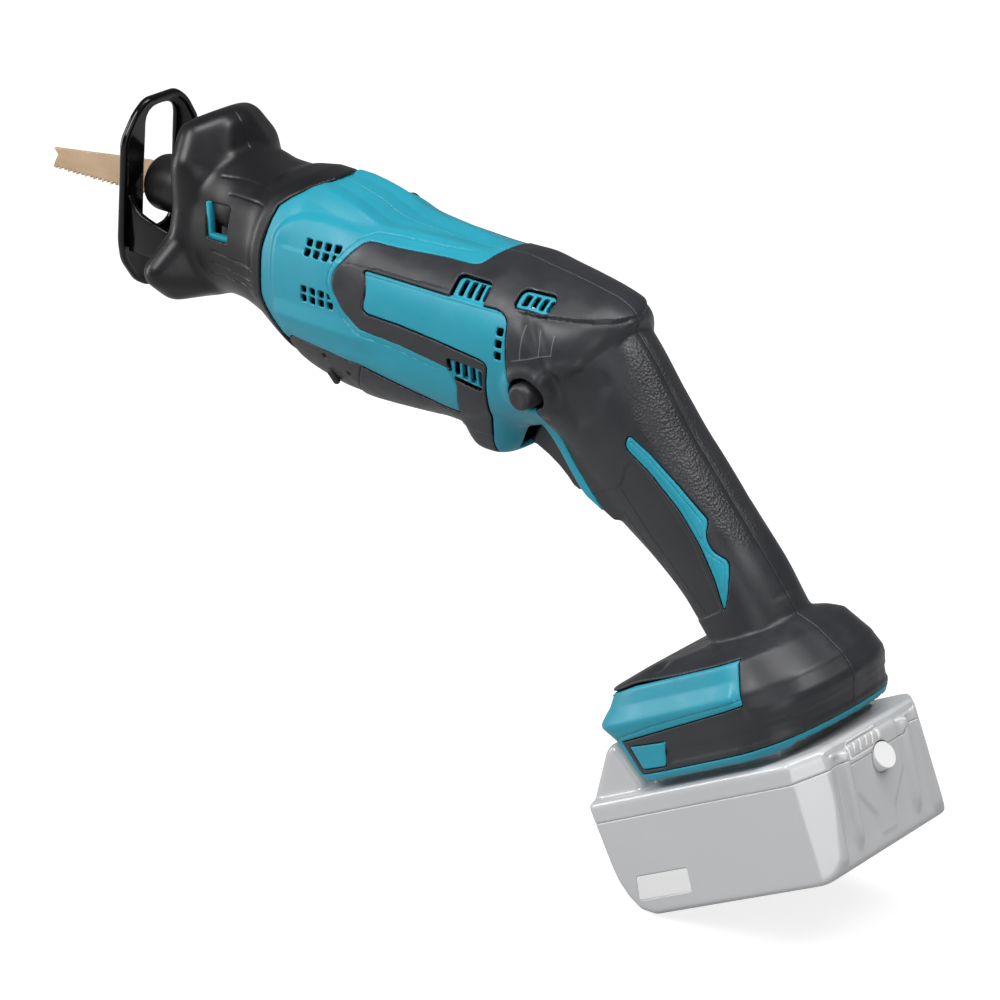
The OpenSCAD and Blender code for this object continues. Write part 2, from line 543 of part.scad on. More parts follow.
// ---- pack ----
SIDE = [[-2.5, pack_h], [-4.2, 42], [-4.2, 36], [-1.8, 15], [0.4, 8.5], [4.1, 2.9], [10.7, 0], [98, 0], [103, 4.5],
  [112, 40], [112, 43], [109, pack_h]];
module pack_outline(o) {
  intersection() {
    side_cut([for (p = SIDE) [p[0] + (p[0] < 50 ? o : -o), p[1] + (p[1] < 20 ? o : -o)]], -60, 60);
    linear_extrude(60) polygon([[-5, -33 + o], [-1.2, -pack_w / 2 + o], [101, -pack_w / 2 + o], [113, -25 + o],
      [113, 25 - o], [101, pack_w / 2 - o], [-1.2, pack_w / 2 - o], [-5, 33 - o]]);
  }
}
seam_w = 38.5;
module pack_lower() {
  color(PACK) in_pack() difference() {
    pack_outline(0);
    translate([-20, -60, seam_w]) cube([160, 120, 40]);
    difference() { pack_outline(2.4); translate([-20, -60, 0]) cube([160, 120, 2.4]); }
    on_check() cylinder(h = 14, r = 5.35, $fn = 32);
    for (x = [11.5, 93], s = [-1, 1]) translate([x, s * 33.6, -1]) cylinder(h = 12, r = 1.36, $fn = 16);
    for (s = [-1, 1]) translate([112.4, s * 16, 4]) rotate([0, -12, 0]) cylinder(h = 34, r = 1.8, $fn = 20);
  }
}
DOME = [[-4.2, 42], [-3, 46], [0.6, 50], [6.2, 57], [11.8, 63], [16.2, 65.6], [18.4, 65.8], [21.4, 60], [24.8, 50.4], [24.8, 44]];
module pack_upper() {
  color(PACK) in_pack() difference() {
    union() {
      intersection() { pack_outline(0); translate([-20, -60, seam_w]) cube([160, 120, 40]); }
      side_cut(DOME, -34, 34);
      side_cut([[22, 44], [22, 61.4], [89, 61.4], [90, 60], [90, 44]], -26.8, 26.8);
      side_cut([[30, 54.2], [30, 61.4], [89, 61.4], [90, 60], [90, 54.2]], -30.2, 30.2);
    }
    difference() { pack_outline(2.4); translate([-20, -60, pack_h - 2.4]) cube([160, 120, 10]); }
    translate([62, -11.5, 43]) for (y = [0, 18.2]) translate([0, y, 0]) cube([40, 4.8, 24]);
    translate([20, -20, 40]) cube([40, 40, 18.6]);
    translate([-12, -16.4, 47.4]) cube([22, 32.8, 30]);
    gauge_solid();
    latch_room();
    on_check() cylinder(h = 14, r = 5.35, $fn = 32);
  }
}
module latch_room() { translate([1.6, -12.4, 40]) cube([14.8, 24.8, 40]); }
module on_check() { translate([104, 2.5, 32]) rotate([0, 78, 0]) children(); }
module pack_latch() {
  color([0.62, 0.62, 0.63]) in_pack() union() {
    translate([2, -12, 46.2]) cube([14, 24, 11]);
    translate([-3, -12, 52]) cube([6, 24, 4]);
    translate([9, -6, 57]) cube([6, 12, 6.4]);
  }
}
module check_button() {
  color([0.95, 0.95, 0.95]) in_pack() on_check() translate([0, 0, 0.6]) cylinder(h = 6.2, r = 5, $fn = 32);
}
module gauge_solid() {
  translate([111.2, -14, 39.2]) cube([1.2, 21, 6]);
  translate([111.2, 7, 40.6]) cube([1.2, 1.6, 3.2]);
}
module pack_gauge() color([0.93, 0.93, 0.93]) in_pack() gauge_solid();
cell_gap = 0.4;
module at_cells() {
  for (r = [0, 1], i = [0 : 4]) translate([14.2 + (cell_d + cell_gap) * i, 0, 12.4 + r * (cell_d + cell_gap)]) rotate([90, 0, 0]) children();
}
module pack_cells() {
  color([0.35, 0.55, 0.42]) in_pack() at_cells() cylinder(h = 64, r = cell_d / 2, center = true, $fn = 36);
}
module cell_frame() {
  color([0.2, 0.2, 0.2]) in_pack() difference() {
    translate([7, -30, 9.6]) cube([88, 60, 25]);
    at_cells() cylinder(h = 80, r = cell_d / 2, center = true, $fn = 36);
    translate([0, -22, 0]) cube([110, 44, 60]);
  }
}
module pack_terminals() {
  color([0.8, 0.65, 0.35]) in_pack() for (y = [-10.4, -7.9, 7.8, 10.3]) translate([64, y, 41]) cube([24, 0.6, 18]);
}
module pack_screws() {
  color([0.5, 0.5, 0.52]) in_pack() for (x = [11.5, 93], s = [-1, 1]) translate([x, s * 33.6, 0]) cylinder(h = 11, r = 1.3, $fn = 16);
}

housing_left();
housing_right();
grip_left();
grip_right();
front_boot();
gear_case();
gear_cover();
front_bush();
rear_bush();
dust_seal();
gear_bearing_low();
gear_bearing_top();
motor_can();
motor_magnets();
brush_holder();
brush_left();
brush_right();
motor_bearing_front();
motor_bearing_rear();
switch_unit();
terminal_block();
stripe_left();
stripe_right();
key_holder();
housing_screws();
shoe_plate();
shoe_bracket();
shoe_bolts();
plunger();
blade_holder();
clamp_pin();
clamp_spring();
blade();
clamp_sleeve();
crank_gear();
gear_shaft();
motor_shaft();
armature();
commutator();
fan();
pinion();
trigger();
lock_button();
hex_key();
pack_upper();
pack_lower();
pack_cells();
cell_frame();
pack_terminals();
pack_gauge();
pack_screws();
pack_latch();
check_button();
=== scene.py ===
import itertools
import json
import math

import bmesh
import bpy
import numpy as np
from mathutils import Matrix, Vector


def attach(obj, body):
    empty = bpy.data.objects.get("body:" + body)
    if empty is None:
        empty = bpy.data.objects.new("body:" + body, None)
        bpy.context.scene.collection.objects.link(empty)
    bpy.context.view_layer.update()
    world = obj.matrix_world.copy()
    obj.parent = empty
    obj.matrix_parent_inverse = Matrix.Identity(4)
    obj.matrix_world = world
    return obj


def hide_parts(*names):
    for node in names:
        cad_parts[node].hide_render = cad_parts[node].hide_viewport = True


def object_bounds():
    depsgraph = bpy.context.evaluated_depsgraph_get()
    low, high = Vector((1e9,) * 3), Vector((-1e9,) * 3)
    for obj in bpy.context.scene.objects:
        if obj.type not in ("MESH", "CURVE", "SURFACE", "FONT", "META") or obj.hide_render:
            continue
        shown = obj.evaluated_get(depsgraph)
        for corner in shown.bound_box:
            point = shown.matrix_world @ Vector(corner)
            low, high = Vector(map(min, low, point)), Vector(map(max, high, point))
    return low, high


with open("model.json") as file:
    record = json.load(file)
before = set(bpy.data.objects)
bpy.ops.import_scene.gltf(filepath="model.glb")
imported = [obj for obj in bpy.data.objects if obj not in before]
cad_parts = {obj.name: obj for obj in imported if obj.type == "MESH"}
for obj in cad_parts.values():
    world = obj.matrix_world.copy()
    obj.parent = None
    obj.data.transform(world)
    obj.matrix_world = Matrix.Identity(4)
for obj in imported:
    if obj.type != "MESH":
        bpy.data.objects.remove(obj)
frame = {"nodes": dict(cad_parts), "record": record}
cad_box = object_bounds()
nodes = frame["nodes"]
MM = 0.001

# ---------------------------------------------------------------- sections of the body, in millimetres
# x, z, lean, half width, top, bottom, height of the widest line, squareness
BARREL = [
    [56, 0, 0, 28, 24, -37, -6, 2.3], [60, 0, 0, 29, 25.5, -39, -8, 2.3],
    [70, 0, 0, 30.5, 26.5, -46, -10, 2.3], [83, 0, 0, 31, 26.8, -52, -13, 2.3],
    [100, 0, 0, 31.5, 23.5, -54.5, -15, 2.4], [115, 0, 0, 31.5, 18, -54.5, -18, 2.5],
    [136, 0, 0, 31.5, 16, -54, -18, 2.5], [160, 0, 0, 31, 15, -52.5, -18, 2.4],
    [175, 0, 0, 30.5, 15.5, -50, -17, 2.3], [190, 0, 0, 29.5, 13.8, -46, -16, 2.2],
    [203, 0, 3, 27.5, 11.8, -42, -15, 2.1], [214, 0, 8, 23.5, 9.6, -36, -13, 2.1],
    [221, -2, 14, 18, 8.6, -28, -10, 2.2], [225, -4, 20, 11, 6.6, -20, -8, 2.2]]
HANDLE = [
    [203, -26, 30, 24, 34, -22, 0, 2.1], [214, -32, 38, 21, 29.5, -24, 0, 2.1],
    [226, -41, 44, 18.5, 24.3, -28.5, 0, 2.3], [240, -54, 48, 17.6, 20.6, -27, 0, 2.6],
    [256, -72, 49, 17.6, 20.2, -19.5, 0, 2.7], [270, -88, 50, 18.2, 20.2, -15, 0, 2.7],
    [281, -101, 52, 18.8, 19.4, -16, 0, 2.4], [288, -110, 56, 20.5, 18, -22, 0, 2.3]]
NECK = [
    [15, 0, 0, 25, 27, -33, -3, 2.6], [22, 0, 0, 26.2, 28, -33, -3, 2.5], [34, 0, 0, 27, 26.5, -31, -4, 2.4],
    [44, 0, 0, 27.4, 24.4, -32, -5, 2.3]] + BARREL[:4] + [[90, 0, 0, 31.2, 26, -53, -14, 2.35]]
# Foot, in the pack's own frame: height, front, rear, half width, squareness of the rear
FOOT = [
    [50, 26.5, 104, 38.4, 2.5], [53.5, 25, 107.5, 39.2, 2.5], [65, 20, 112, 38.2, 2.6],
    [73.5, 15.5, 110.5, 37.5, 2.6], [84.5, 24, 103.5, 33.5, 2.5], [87.6, 38, 100.5, 28, 2.4],
    [90.2, 64, 98, 20, 2.3]]
FOOT_MID = 76
# The belly in front of the trigger: height, front, rear, half width
NOSE = [
    [-36, 152, 191, 24.5], [-48, 152.5, 182, 21], [-55, 154, 179, 18], [-59, 157, 176, 15.5],
    [-61, 162, 172, 10]]
THROAT = [
    (181, -30), (183.2, -43), (187.1, -41.6), (190, -41.6), (193.4, -43.1), (197.2, -46.5),
    (201.4, -51.4), (206.1, -57.7), (210.3, -62.9), (213.2, -65.6), (219.5, -68.6), (227, -72.4),
    (238, -66), (226, -38), (206, -20)]

# Side views of the skin's outlines
RUBBER_FRAME = [
    (165.5, 60), (164.5, 13.5), (160, 12.6), (128, 12.6), (113.3, 13), (109, 8.2), (104.2, 1.2),
    (104.2, -4.4), (110.6, -12.4), (118.4, -17.2), (138.3, -19.2), (162, -22.9), (165.3, -29.5),
    (163, -37), (160.5, -45), (157, -55), (157, -75), (171, -75), (171.5, -55), (175, -43), (177.5, -33),
    (180.2, -17.2), (177, -16), (158, -13.5), (138, -11.4), (121, -10.6), (119.6, -8), (120.8, -4.8),
    (120, 0.6), (117.5, 4.6), (135, 4.1), (159, 3.3), (182.2, 3), (186.8, 0.6), (187.9, -8), (189, -19),
    (191, -22.5), (197, -27), (199.5, -33), (197.6, -38.4), (203, -45), (209.4, -54), (216, -61.6),
    (221.4, -68), (222, -80), (230, -94), (252, -113), (293.3, -94.7), (303.6, -115), (349, -96),
    (330, -20), (300, 60)]
BELLY = [
    (103, -62), (105, -46.6), (107, -44.3), (113, -33), (117.4, -33.6), (134.9, -37.4), (148, -40.4),
    (166, -43.4), (166, -70)]
KEY_HOLDER = [
    (106, -62), (109.3, -46.6), (110.8, -44.3), (116.8, -33.2), (107.8, -33), (94.6, -31.8),
    (83.4, -31.2), (79, -30.8), (72, -36), (67, -46), (67, -62)]
BOOT_EDGE = [
    (76, -60), (70, -32), (64.9, -23), (63.3, -17.9), (64.1, -9.3), (64.7, 0.7), (66.2, 7.8),
    (68.2, 17.5), (71.8, 20.7), (76.9, 24.2), (83.1, 27), (83.1, 60)]
WELL = [(180, -30), (196, -30), (214, -36), (226, -58), (212, -74), (176, -74), (177, -50)]
STRIPE = [
    (235.4, -34.4), (244.2, -40), (256.2, -49.5), (269.2, -61.1), (268.8, -64), (270.5, -68),
    (273.4, -70.9), (278.9, -73.2), (280.4, -78), (281.2, -85), (280.6, -91.5), (278, -86),
    (275.4, -80.4), (267.8, -69.2), (258.4, -58.2), (245.3, -47), (234.4, -39.7)]
WRAP = [(27, 66.6), (31.6, 53.3), (120, 53.3), (120, 110), (91, 110), (91, 69.9)]
FLAP = [(10, 82.5), (40, 85.2), (90.8, 85.2), (100, 86), (100, 120), (10, 120)]
PLATE = [(30.6, 64.4), (49.8, 63.6), (46.6, 54.8), (33.8, 55.1)]
LOUVRES = [[(158.9, 1.5), (158.9, 9.6), (161, 10), (174, 9.9), (175, 8.6), (174.6, 1.5)],
           [(187, 5), (187, 9.4), (188.6, 10.2), (199.8, 9.5), (201.4, 8), (201.4, 5.2), (200, 4.4)],
           [(161.2, -18.9), (177.6, -19.9), (176.4, -28.9), (162.4, -26.2)]]
# The edge of an air slot, and how far the grilles behind the louvres are sunk
SLOT_LIP, GRILLE = 0.45, 1.1
# middle x, middle z, half width, half height of the air slots
SLOTS = [(89.7 + 4.6 * i, z, 1.5, 1.3) for i in range(4) for z in (5.5, 9.0, -11.9, -8.4)]
SLOTS += [(184.8, z, 1.5, 1.4) for z in (-12.7, -8.3, -3.9)]
SLOTS += [
    (162.3, 6.9, 1.15, 2.5), (166.3, 6.9, 1.15, 2.5), (170.2, 6.9, 1.15, 2.5), (173.5, 6.9, 0.75, 2.4),
    (190.3, 7.6, 1.2, 1.6), (193.9, 7.5, 1.0, 1.6), (197.2, 7.3, 1.0, 1.6), (200.1, 7.0, 0.7, 1.5),
    (165, -22.4, 1.2, 2.8), (168.6, -23.2, 1.2, 3.1), (172.4, -23.9, 1.2, 3.3), (175.6, -24.5, 0.7, 3.3)]
BULGE = [
    (71.3, -19), (69.7, -14), (69.6, 0), (69.6, 8.5), (71.8, 12.6), (74.6, 15.3), (78.4, 17.4),
    (83.4, 18.9), (90.3, 19.3), (99.8, 18.9), (113.3, 16.7), (122.1, 16.1), (138.9, 15.2), (170, 14),
    (190, 0), (190, -80), (78, -80)]
SCORES = [[(194.3, -0.2), (194.7, -12.2)], [(200.7, -0.8), (201.3, -10.2)], [(206.8, -1.7), (206.8, -8.6)],
          [(191.3, -13.2), (198, -11.2), (206.8, -8.6)]]
PANEL_LINE = [(118.6, 3), (135.4, 2.7), (159.4, 2.1), (183.6, 1.9)]
HOLLOW = [
    (202.5, -20), (205, -16.8), (208, -14.6), (215.6, -12.6), (223, -11.4), (229, -17), (226, -31),
    (214, -40), (204, -31)]
CREST = [(202.7, -18.8), (204.7, -16.2), (206.6, -14.3), (211.9, -12.5), (215.6, -11.8)]
INSET = [
    (232.5, -53.8), (234.6, -46.6), (238.4, -42.9), (252.5, -54.9), (265.3, -68.6), (277, -86.8),
    (280, -91), (276.4, -93.4), (266.1, -100.2), (255, -114), (220, -95), (214, -64), (231, -56)]
INSET_LINES = [[(232.4, -56.8), (246.2, -71.7), (272.6, -94.6)], [(232.4, -66), (251.9, -84), (269.6, -97.6)]]
LEATHER = [
    (224, -3), (227, -8), (229.5, -17), (236, -31), (252, -48), (268, -63), (277, -69), (288, -76),
    (310, -60), (250, 20)]
FOOT_LINE = [(31.4, 50.6), (24.6, 66.4), (25.8, 68.2), (45.5, 70.2), (66.7, 71.2), (90.2, 72)]

BOOT_LINES = [[(34.6, 20.9), (47, 20.6), (60.3, 20)], [(41.8, 16.1), (61.1, 15.7)]]
RIB_LINES = [[(35.8, -6.4), (59.8, -8.5)], [(36.2, -11.3), (58.7, -13.8)], [(33.2, -16.6), (57.8, -16.7)]]
# The pack, in its own frame: side view, plan and latch dome
PACK_SIDE = [
    (-2.5, 46.5), (-4.2, 42), (-4.2, 36), (-1.8, 15), (0.4, 8.5), (4.1, 2.9), (10.7, 0), (98, 0),
    (101, 1.8), (104.3, 6.2), (112, 40), (112, 43), (109, 46.5)]
PACK_PLAN = [
    (-5, -33), (-1.2, -37.5), (101, -37.5), (113, -25), (113, 25), (101, 37.5), (-1.2, 37.5), (-5, 33)]
DOME = [
    (24.8, 40), (24.8, 50.4), (21.4, 60), (18.4, 65.8), (16.2, 65.6), (11.8, 63), (0.6, 50), (-3, 46),
    (-4.2, 42), (-4.2, 40)]
# Middle x and z of the deep screw holes, and how far from the middle their tubes sit
SCREWS = [
    (97, 12, 21), (95.5, -34, 24.4), (122, 4, 23.5), (148, -44, 20.5), (226, -26, 13.5), (262, -80, 13.5)]
KEY_SCREWS = [(96, -35), (107.4, -39.8)]
LABEL = [(9.2, 15.9), (36, 15.9), (34.1, 7), (6.2, 6.7)]
AXIS_Z = 3.0
LOCK = (196.8, -25.4)
PACK_AT = Matrix.Translation(Vector((254, 0, -218))) @ Matrix.Rotation(math.radians(-27), 4, "Y")
TO_PACK = PACK_AT.inverted()


# ---------------------------------------------------------------- numbers
def glide(keys, values, t):
    """Values that pass through the keys without overshoot."""
    keys, values = np.asarray(keys, float), np.asarray(values, float)
    step = np.diff(keys)
    slope = np.diff(values) / step
    before, after = slope[:-1], slope[1:]
    inner = np.where(before * after > 0, 2 * before * after / (before + after + 1e-12), 0)
    tangent = np.concatenate([slope[:1], inner, slope[-1:]])
    i = np.clip(np.searchsorted(keys, t, "right") - 1, 0, len(step) - 1)
    u = (t - keys[i]) / step[i]
    return (values[i] * (2 * u**3 - 3 * u**2 + 1) + values[i + 1] * (3 * u**2 - 2 * u**3)
            + step[i] * (tangent[i] * (u**3 - 2 * u**2 + u) + tangent[i + 1] * (u**3 - u**2)))


def superellipse(w, h, p, a):
    """A point of a softened box at an angle: half sizes and squareness."""
    c, s = np.cos(a), np.sin(a)
    return w * np.sign(c) * np.abs(c) ** (2 / p), h * np.sign(s) * np.abs(s) ** (2 / p)


def body_section(stations):
    """A place on a body swept through the stations of a table."""
    table = np.array(stations, float).T
    keys = np.arange(table.shape[1])

    def place(u, v):
        t = u * keys[-1]
        x, z, lean, w, top, low, mid, p = (glide(keys, row, t) for row in table)
        a = 2 * np.pi * v
        h = np.where(a <= np.pi, top - mid, mid - low)
        cy, cz = superellipse(w, h, p, a)
        cz = cz + mid
        lean = np.radians(lean)
        return np.stack([x + cz * np.sin(lean), cy, z + cz * np.cos(lean)], -1)
    return place


def foot_section(u, v):
    """A place on the foot, whose layers lie level with the pack's top."""
    table = np.array(FOOT, float).T
    h = np.interp(u * 6, range(7), table[0])
    front, rear, w, p = (np.interp(u * 6, range(7), row) for row in table[1:])
    a = 2 * np.pi * v
    back = np.cos(a) > 0
    x1, y1 = superellipse(rear - FOOT_MID, w, p, a)
    x0, y0 = superellipse(FOOT_MID - front, w, 9.0, a)
    local = np.stack([FOOT_MID + np.where(back, x1, x0), np.where(back, y1, y0), h], -1)
    return local @ np.array(PACK_AT.to_3x3()).T + np.array(PACK_AT.translation)


def nose_section(u, v):
    """A place on the belly in front of the trigger."""
    table = np.array(NOSE, float).T
    z, front, rear, w = (glide(range(5), row, u * 4) for row in table)
    cx, cy = superellipse((rear - front) / 2, w, 3.0, 2 * np.pi * v)
    return np.stack([(front + rear) / 2 + cx, cy, z], -1)


def rounded(outline, r=1.2):
    """The outline with its corners cut back twice, by r and less."""
    p = np.array(outline, float)
    for cut in (r, 0.4 * r):
        step = np.roll(p, -1, 0) - p
        t = np.minimum(0.45, cut / (np.hypot(*step.T) + 1e-9))[:, None]
        p = np.stack([p + t * step, p + (1 - t) * step], 1).reshape(-1, 2)
    return p


def reach(outline):
    """Distance to an outline in side view, negative inside."""
    a = np.asarray(outline, float)
    b = np.roll(a, -1, 0)

    def field(p):
        near = np.full(len(p), 1e9)
        odd = np.zeros(len(p), bool)
        for (ax, ay), (bx, by) in zip(a, b):
            dx, dy = bx - ax, by - ay
            t = np.clip(((p[:, 0] - ax) * dx + (p[:, 1] - ay) * dy) / (dx * dx + dy * dy + 1e-12), 0, 1)
            near = np.minimum(near, (p[:, 0] - ax - t * dx) ** 2 + (p[:, 1] - ay - t * dy) ** 2)
            if dy:
                odd ^= ((ay > p[:, 1]) != (by > p[:, 1])) & (p[:, 0] < dx * (p[:, 1] - ay) / dy + ax)
        return np.where(odd, -1, 1) * np.sqrt(near)
    return field


def trail(points):
    """Distance to an open line in side view, with a sign for its two sides."""
    def field(p):
        near, sign = np.full(len(p), 1e9), np.ones(len(p))
        for (ax, ay), (bx, by) in zip(points, points[1:]):
            dx, dy = bx - ax, by - ay
            px, py = p[:, 0] - ax, p[:, 1] - ay
            t = np.clip((px * dx + py * dy) / (dx * dx + dy * dy), 0, 1)
            far = (px - t * dx) ** 2 + (py - t * dy) ** 2
            closer = far < near
            near = np.where(closer, far, near)
            sign = np.where(closer, np.where(px * dy - py * dx < 0, -1, 1), sign)
        return sign * np.sqrt(near)
    return field


def boxes(p, table, r=0.5):
    """Distance to the nearest of some round-cornered boxes."""
    near = np.full(len(p), 1e9)
    for x, z, w, h in table:
        q = np.stack([np.abs(p[:, 0] - x) - w + r, np.abs(p[:, 1] - z) - h + r])
        near = np.minimum(near, np.hypot(*np.maximum(q, 0)) + np.minimum(q.max(0), 0) - r)
    return near


def ease(t):
    """From 0 to 1 with soft ends."""
    t = np.clip(t, 0, 1)
    return t * t * (3 - 2 * t)


def span(t, start, end, run_in, run_out):
    """1 between two places, with a soft run in after the start and a soft run out before the end."""
    return ease((t - start) / run_in) * ease((end - t) / run_out)


def tent(d, width, height):
    """A fold line: the surface rises evenly to it from both sides."""
    return height * np.clip(1 - np.abs(d) / width, 0, 1)


# ---------------------------------------------------------------- mesh work
def grid_body(place, rows, columns):
    """A closed body swept over a grid whose two long edges are welded."""
    bm = bmesh.new()
    bmesh.ops.create_grid(bm, x_segments=rows, y_segments=columns, size=0.5)
    uv = np.array([v.co[:2] for v in bm.verts]) + 0.5
    at = place(np.clip(uv[:, 0], 0, 1), np.clip(uv[:, 1], 0, 1))
    for v, p in zip(bm.verts, at):
        v.co = p
    bmesh.ops.remove_doubles(bm, verts=bm.verts, dist=1e-3)
    bmesh.ops.holes_fill(bm, edges=[e for e in bm.edges if e.is_boundary], sides=0)
    bmesh.ops.recalc_face_normals(bm, faces=bm.faces)
    return bm


def side_slab(outline, y0, y1, matrix=None):
    """A slab of a side view outline, from one y to another."""
    bm = bmesh.new()
    ring = [bm.verts.new((x, y0, z)) for x, z in outline]
    face = bm.faces.new(ring)
    out = bmesh.ops.extrude_face_region(bm, geom=[face])
    far = [g for g in out["geom"] if isinstance(g, bmesh.types.BMVert)]
    bmesh.ops.translate(bm, verts=far, vec=(0, y1 - y0, 0))
    bmesh.ops.recalc_face_normals(bm, faces=bm.faces)
    if matrix:
        bmesh.ops.transform(bm, matrix=matrix, verts=bm.verts)
    return bm


def softened(bm, edges, offset, segments=2):
    """Rounds some edges of a body."""
    bmesh.ops.bevel(bm, geom=edges, offset=offset, segments=segments, profile=0.5, affect="EDGES",
                    material=-1)


def long_edges(bm):
    """The edges of a slab that run along its outline, and not across it."""
    return [e for e in bm.edges if abs(e.verts[0].co.y - e.verts[1].co.y) < 0.1]


def gather(parts):
    """Several closed bodies in one bmesh."""
    bm = bmesh.new()
    for part in parts:
        mesh = bpy.data.meshes.new("part")
        part.to_mesh(mesh)
        bm.from_mesh(mesh)
        bpy.data.meshes.remove(mesh)
        part.free()
    return bm


def new_object(name, bm):
    mesh = bpy.data.meshes.new(name)
    bm.to_mesh(mesh)
    bm.free()
    obj = bpy.data.objects.new(name, mesh)
    bpy.context.scene.collection.objects.link(obj)
    return obj


def applied(obj):
    """The object's mesh with its modifiers applied, as a bmesh; the object goes."""
    bpy.context.view_layer.update()
    shown = obj.evaluated_get(bpy.context.evaluated_depsgraph_get())
    bm = bmesh.new()
    bm.from_mesh(shown.to_mesh())
    shown.to_mesh_clear()
    mesh = obj.data
    bpy.data.objects.remove(obj)
    bpy.data.meshes.remove(mesh)
    return bm


def fused_skin(parts, voxel, smooth):
    """Overlapping bodies as one even skin with soft inner corners."""
    obj = new_object("fused", gather(parts))
    grid = obj.modifiers.new("voxel", "REMESH")
    grid.mode, grid.voxel_size, grid.use_smooth_shade = "VOXEL", voxel, True
    relax = obj.modifiers.new("relax", "SMOOTH")
    relax.factor, relax.iterations = 0.5, smooth
    return applied(obj)


def coords(bm):
    return np.array([v.co for v in bm.verts])


def slit(bm, field, levels=(0,)):
    """Cuts the faces along the lines where the field has these levels."""
    at = coords(bm)
    value = field(at)
    for level in levels:
        bm.verts.index_update()
        fresh_at = coords(bm)
        if len(fresh_at) > len(value):
            value = np.concatenate([value, field(fresh_at[len(value):])])
        at, here = fresh_at, value - level
        here[np.abs(here) < 1e-4] = 1e-4
        pairs = np.array([[e.verts[0].index, e.verts[1].index] for e in bm.edges])
        crossing = np.nonzero(here[pairs[:, 0]] * here[pairs[:, 1]] < 0)[0]
        if not len(crossing):
            continue
        a, b = at[pairs[crossing, 0]], at[pairs[crossing, 1]]
        fa, fb = here[pairs[crossing, 0]], here[pairs[crossing, 1]]
        lo, hi, flo, fhi = np.zeros(len(a)), np.ones(len(a)), fa.copy(), fb.copy()
        for _ in range(2):
            t = lo + (hi - lo) * flo / (flo - fhi)
            f = field(a + (b - a) * t[:, None]) - level
            same = f * flo > 0
            lo, flo = np.where(same, t, lo), np.where(same, f, flo)
            hi, fhi = np.where(same, hi, t), np.where(same, fhi, f)
        t = np.clip(lo + (hi - lo) * flo / (flo - fhi + 1e-15), 0.04, 0.96)
        bm.edges.ensure_lookup_table()
        edges = [bm.edges[i] for i in crossing]
        fresh = [bmesh.utils.edge_split(e, e.verts[0], float(s))[1] for e, s in zip(edges, t)]
        bmesh.ops.connect_verts(bm, verts=fresh)


def centres(bm):
    return np.array([f.calc_center_median() for f in bm.faces])


def kept(bm, mask):
    """A copy of the bmesh with only the faces under the mask."""
    part = bm.copy()
    bmesh.ops.delete(part, geom=[f for f, keep in zip(part.faces, mask) if not keep], context="FACES")
    return part


def pushed(bm, depth):
    """Moves each vertex along its normal by depth(points), in millimetres."""
    bm.normal_update()
    d = depth(coords(bm))
    for v, k in zip(bm.verts, d):
        if k:
            v.co += v.normal * float(k)


def lip(d, r=0.5, deep=0.35):
    """A rounded edge: how far down the surface is at a distance d inside its border."""
    t = np.clip(1 - d / r, 0, 1)
    return -deep * t**2


def finish_piece(name, bm, body, slot, material, replaces=(), wall=None, smooth=True, auto=None):
    """Millimetres to metres, material, modifiers, and the body it rides on."""
    bmesh.ops.scale(bm, vec=(MM, MM, MM), verts=bm.verts)
    for f in bm.faces:
        f.smooth = smooth
    obj = new_object(name, bm)
    obj.data.materials.append(material)
    if auto is not None:
        obj.data.set_sharp_from_angle(angle=math.radians(auto))
    if wall:
        m = obj.modifiers.new("wall", "SOLIDIFY")
        m.thickness, m.offset, m.use_even_offset = wall * MM, -1, False
    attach(obj, body)
    if replaces:
        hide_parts(*replaces)
    return obj


# ---------------------------------------------------------------- materials
def shader(name, colour, roughness, metallic=0.0, **sockets):
    """A plain material; more sockets of its shader by name."""
    mat = bpy.data.materials.new(name)
    mat.use_nodes = True
    b = mat.node_tree.nodes["Principled BSDF"]
    b.inputs["Base Color"].default_value = (*colour, 1)
    b.inputs["Roughness"].default_value = roughness
    b.inputs["Metallic"].default_value = metallic
    for key, value in sockets.items():
        b.inputs[key.replace("_", " ")].default_value = value
    mat.diffuse_color = (*colour, 1)
    return mat


def node(mat, kind, **settings):
    """A shader node with its settings or input values."""
    n = mat.node_tree.nodes.new(kind)
    for key, value in settings.items():
        if hasattr(n, key):
            setattr(n, key, value)
        else:
            n.inputs[key.replace("_", " ")].default_value = value
    return n


def wire(mat, a, out, b, into):
    mat.node_tree.links.new(a.outputs[out], b.inputs[into])


def place_of(mat, stretch=(1, 1, 1)):
    """Object coordinates in millimetres, stretched."""
    where = node(mat, "ShaderNodeTexCoord")
    scale = node(mat, "ShaderNodeMapping")
    scale.inputs["Scale"].default_value = [1000 * s for s in stretch]
    wire(mat, where, "Object", scale, "Vector")
    return scale


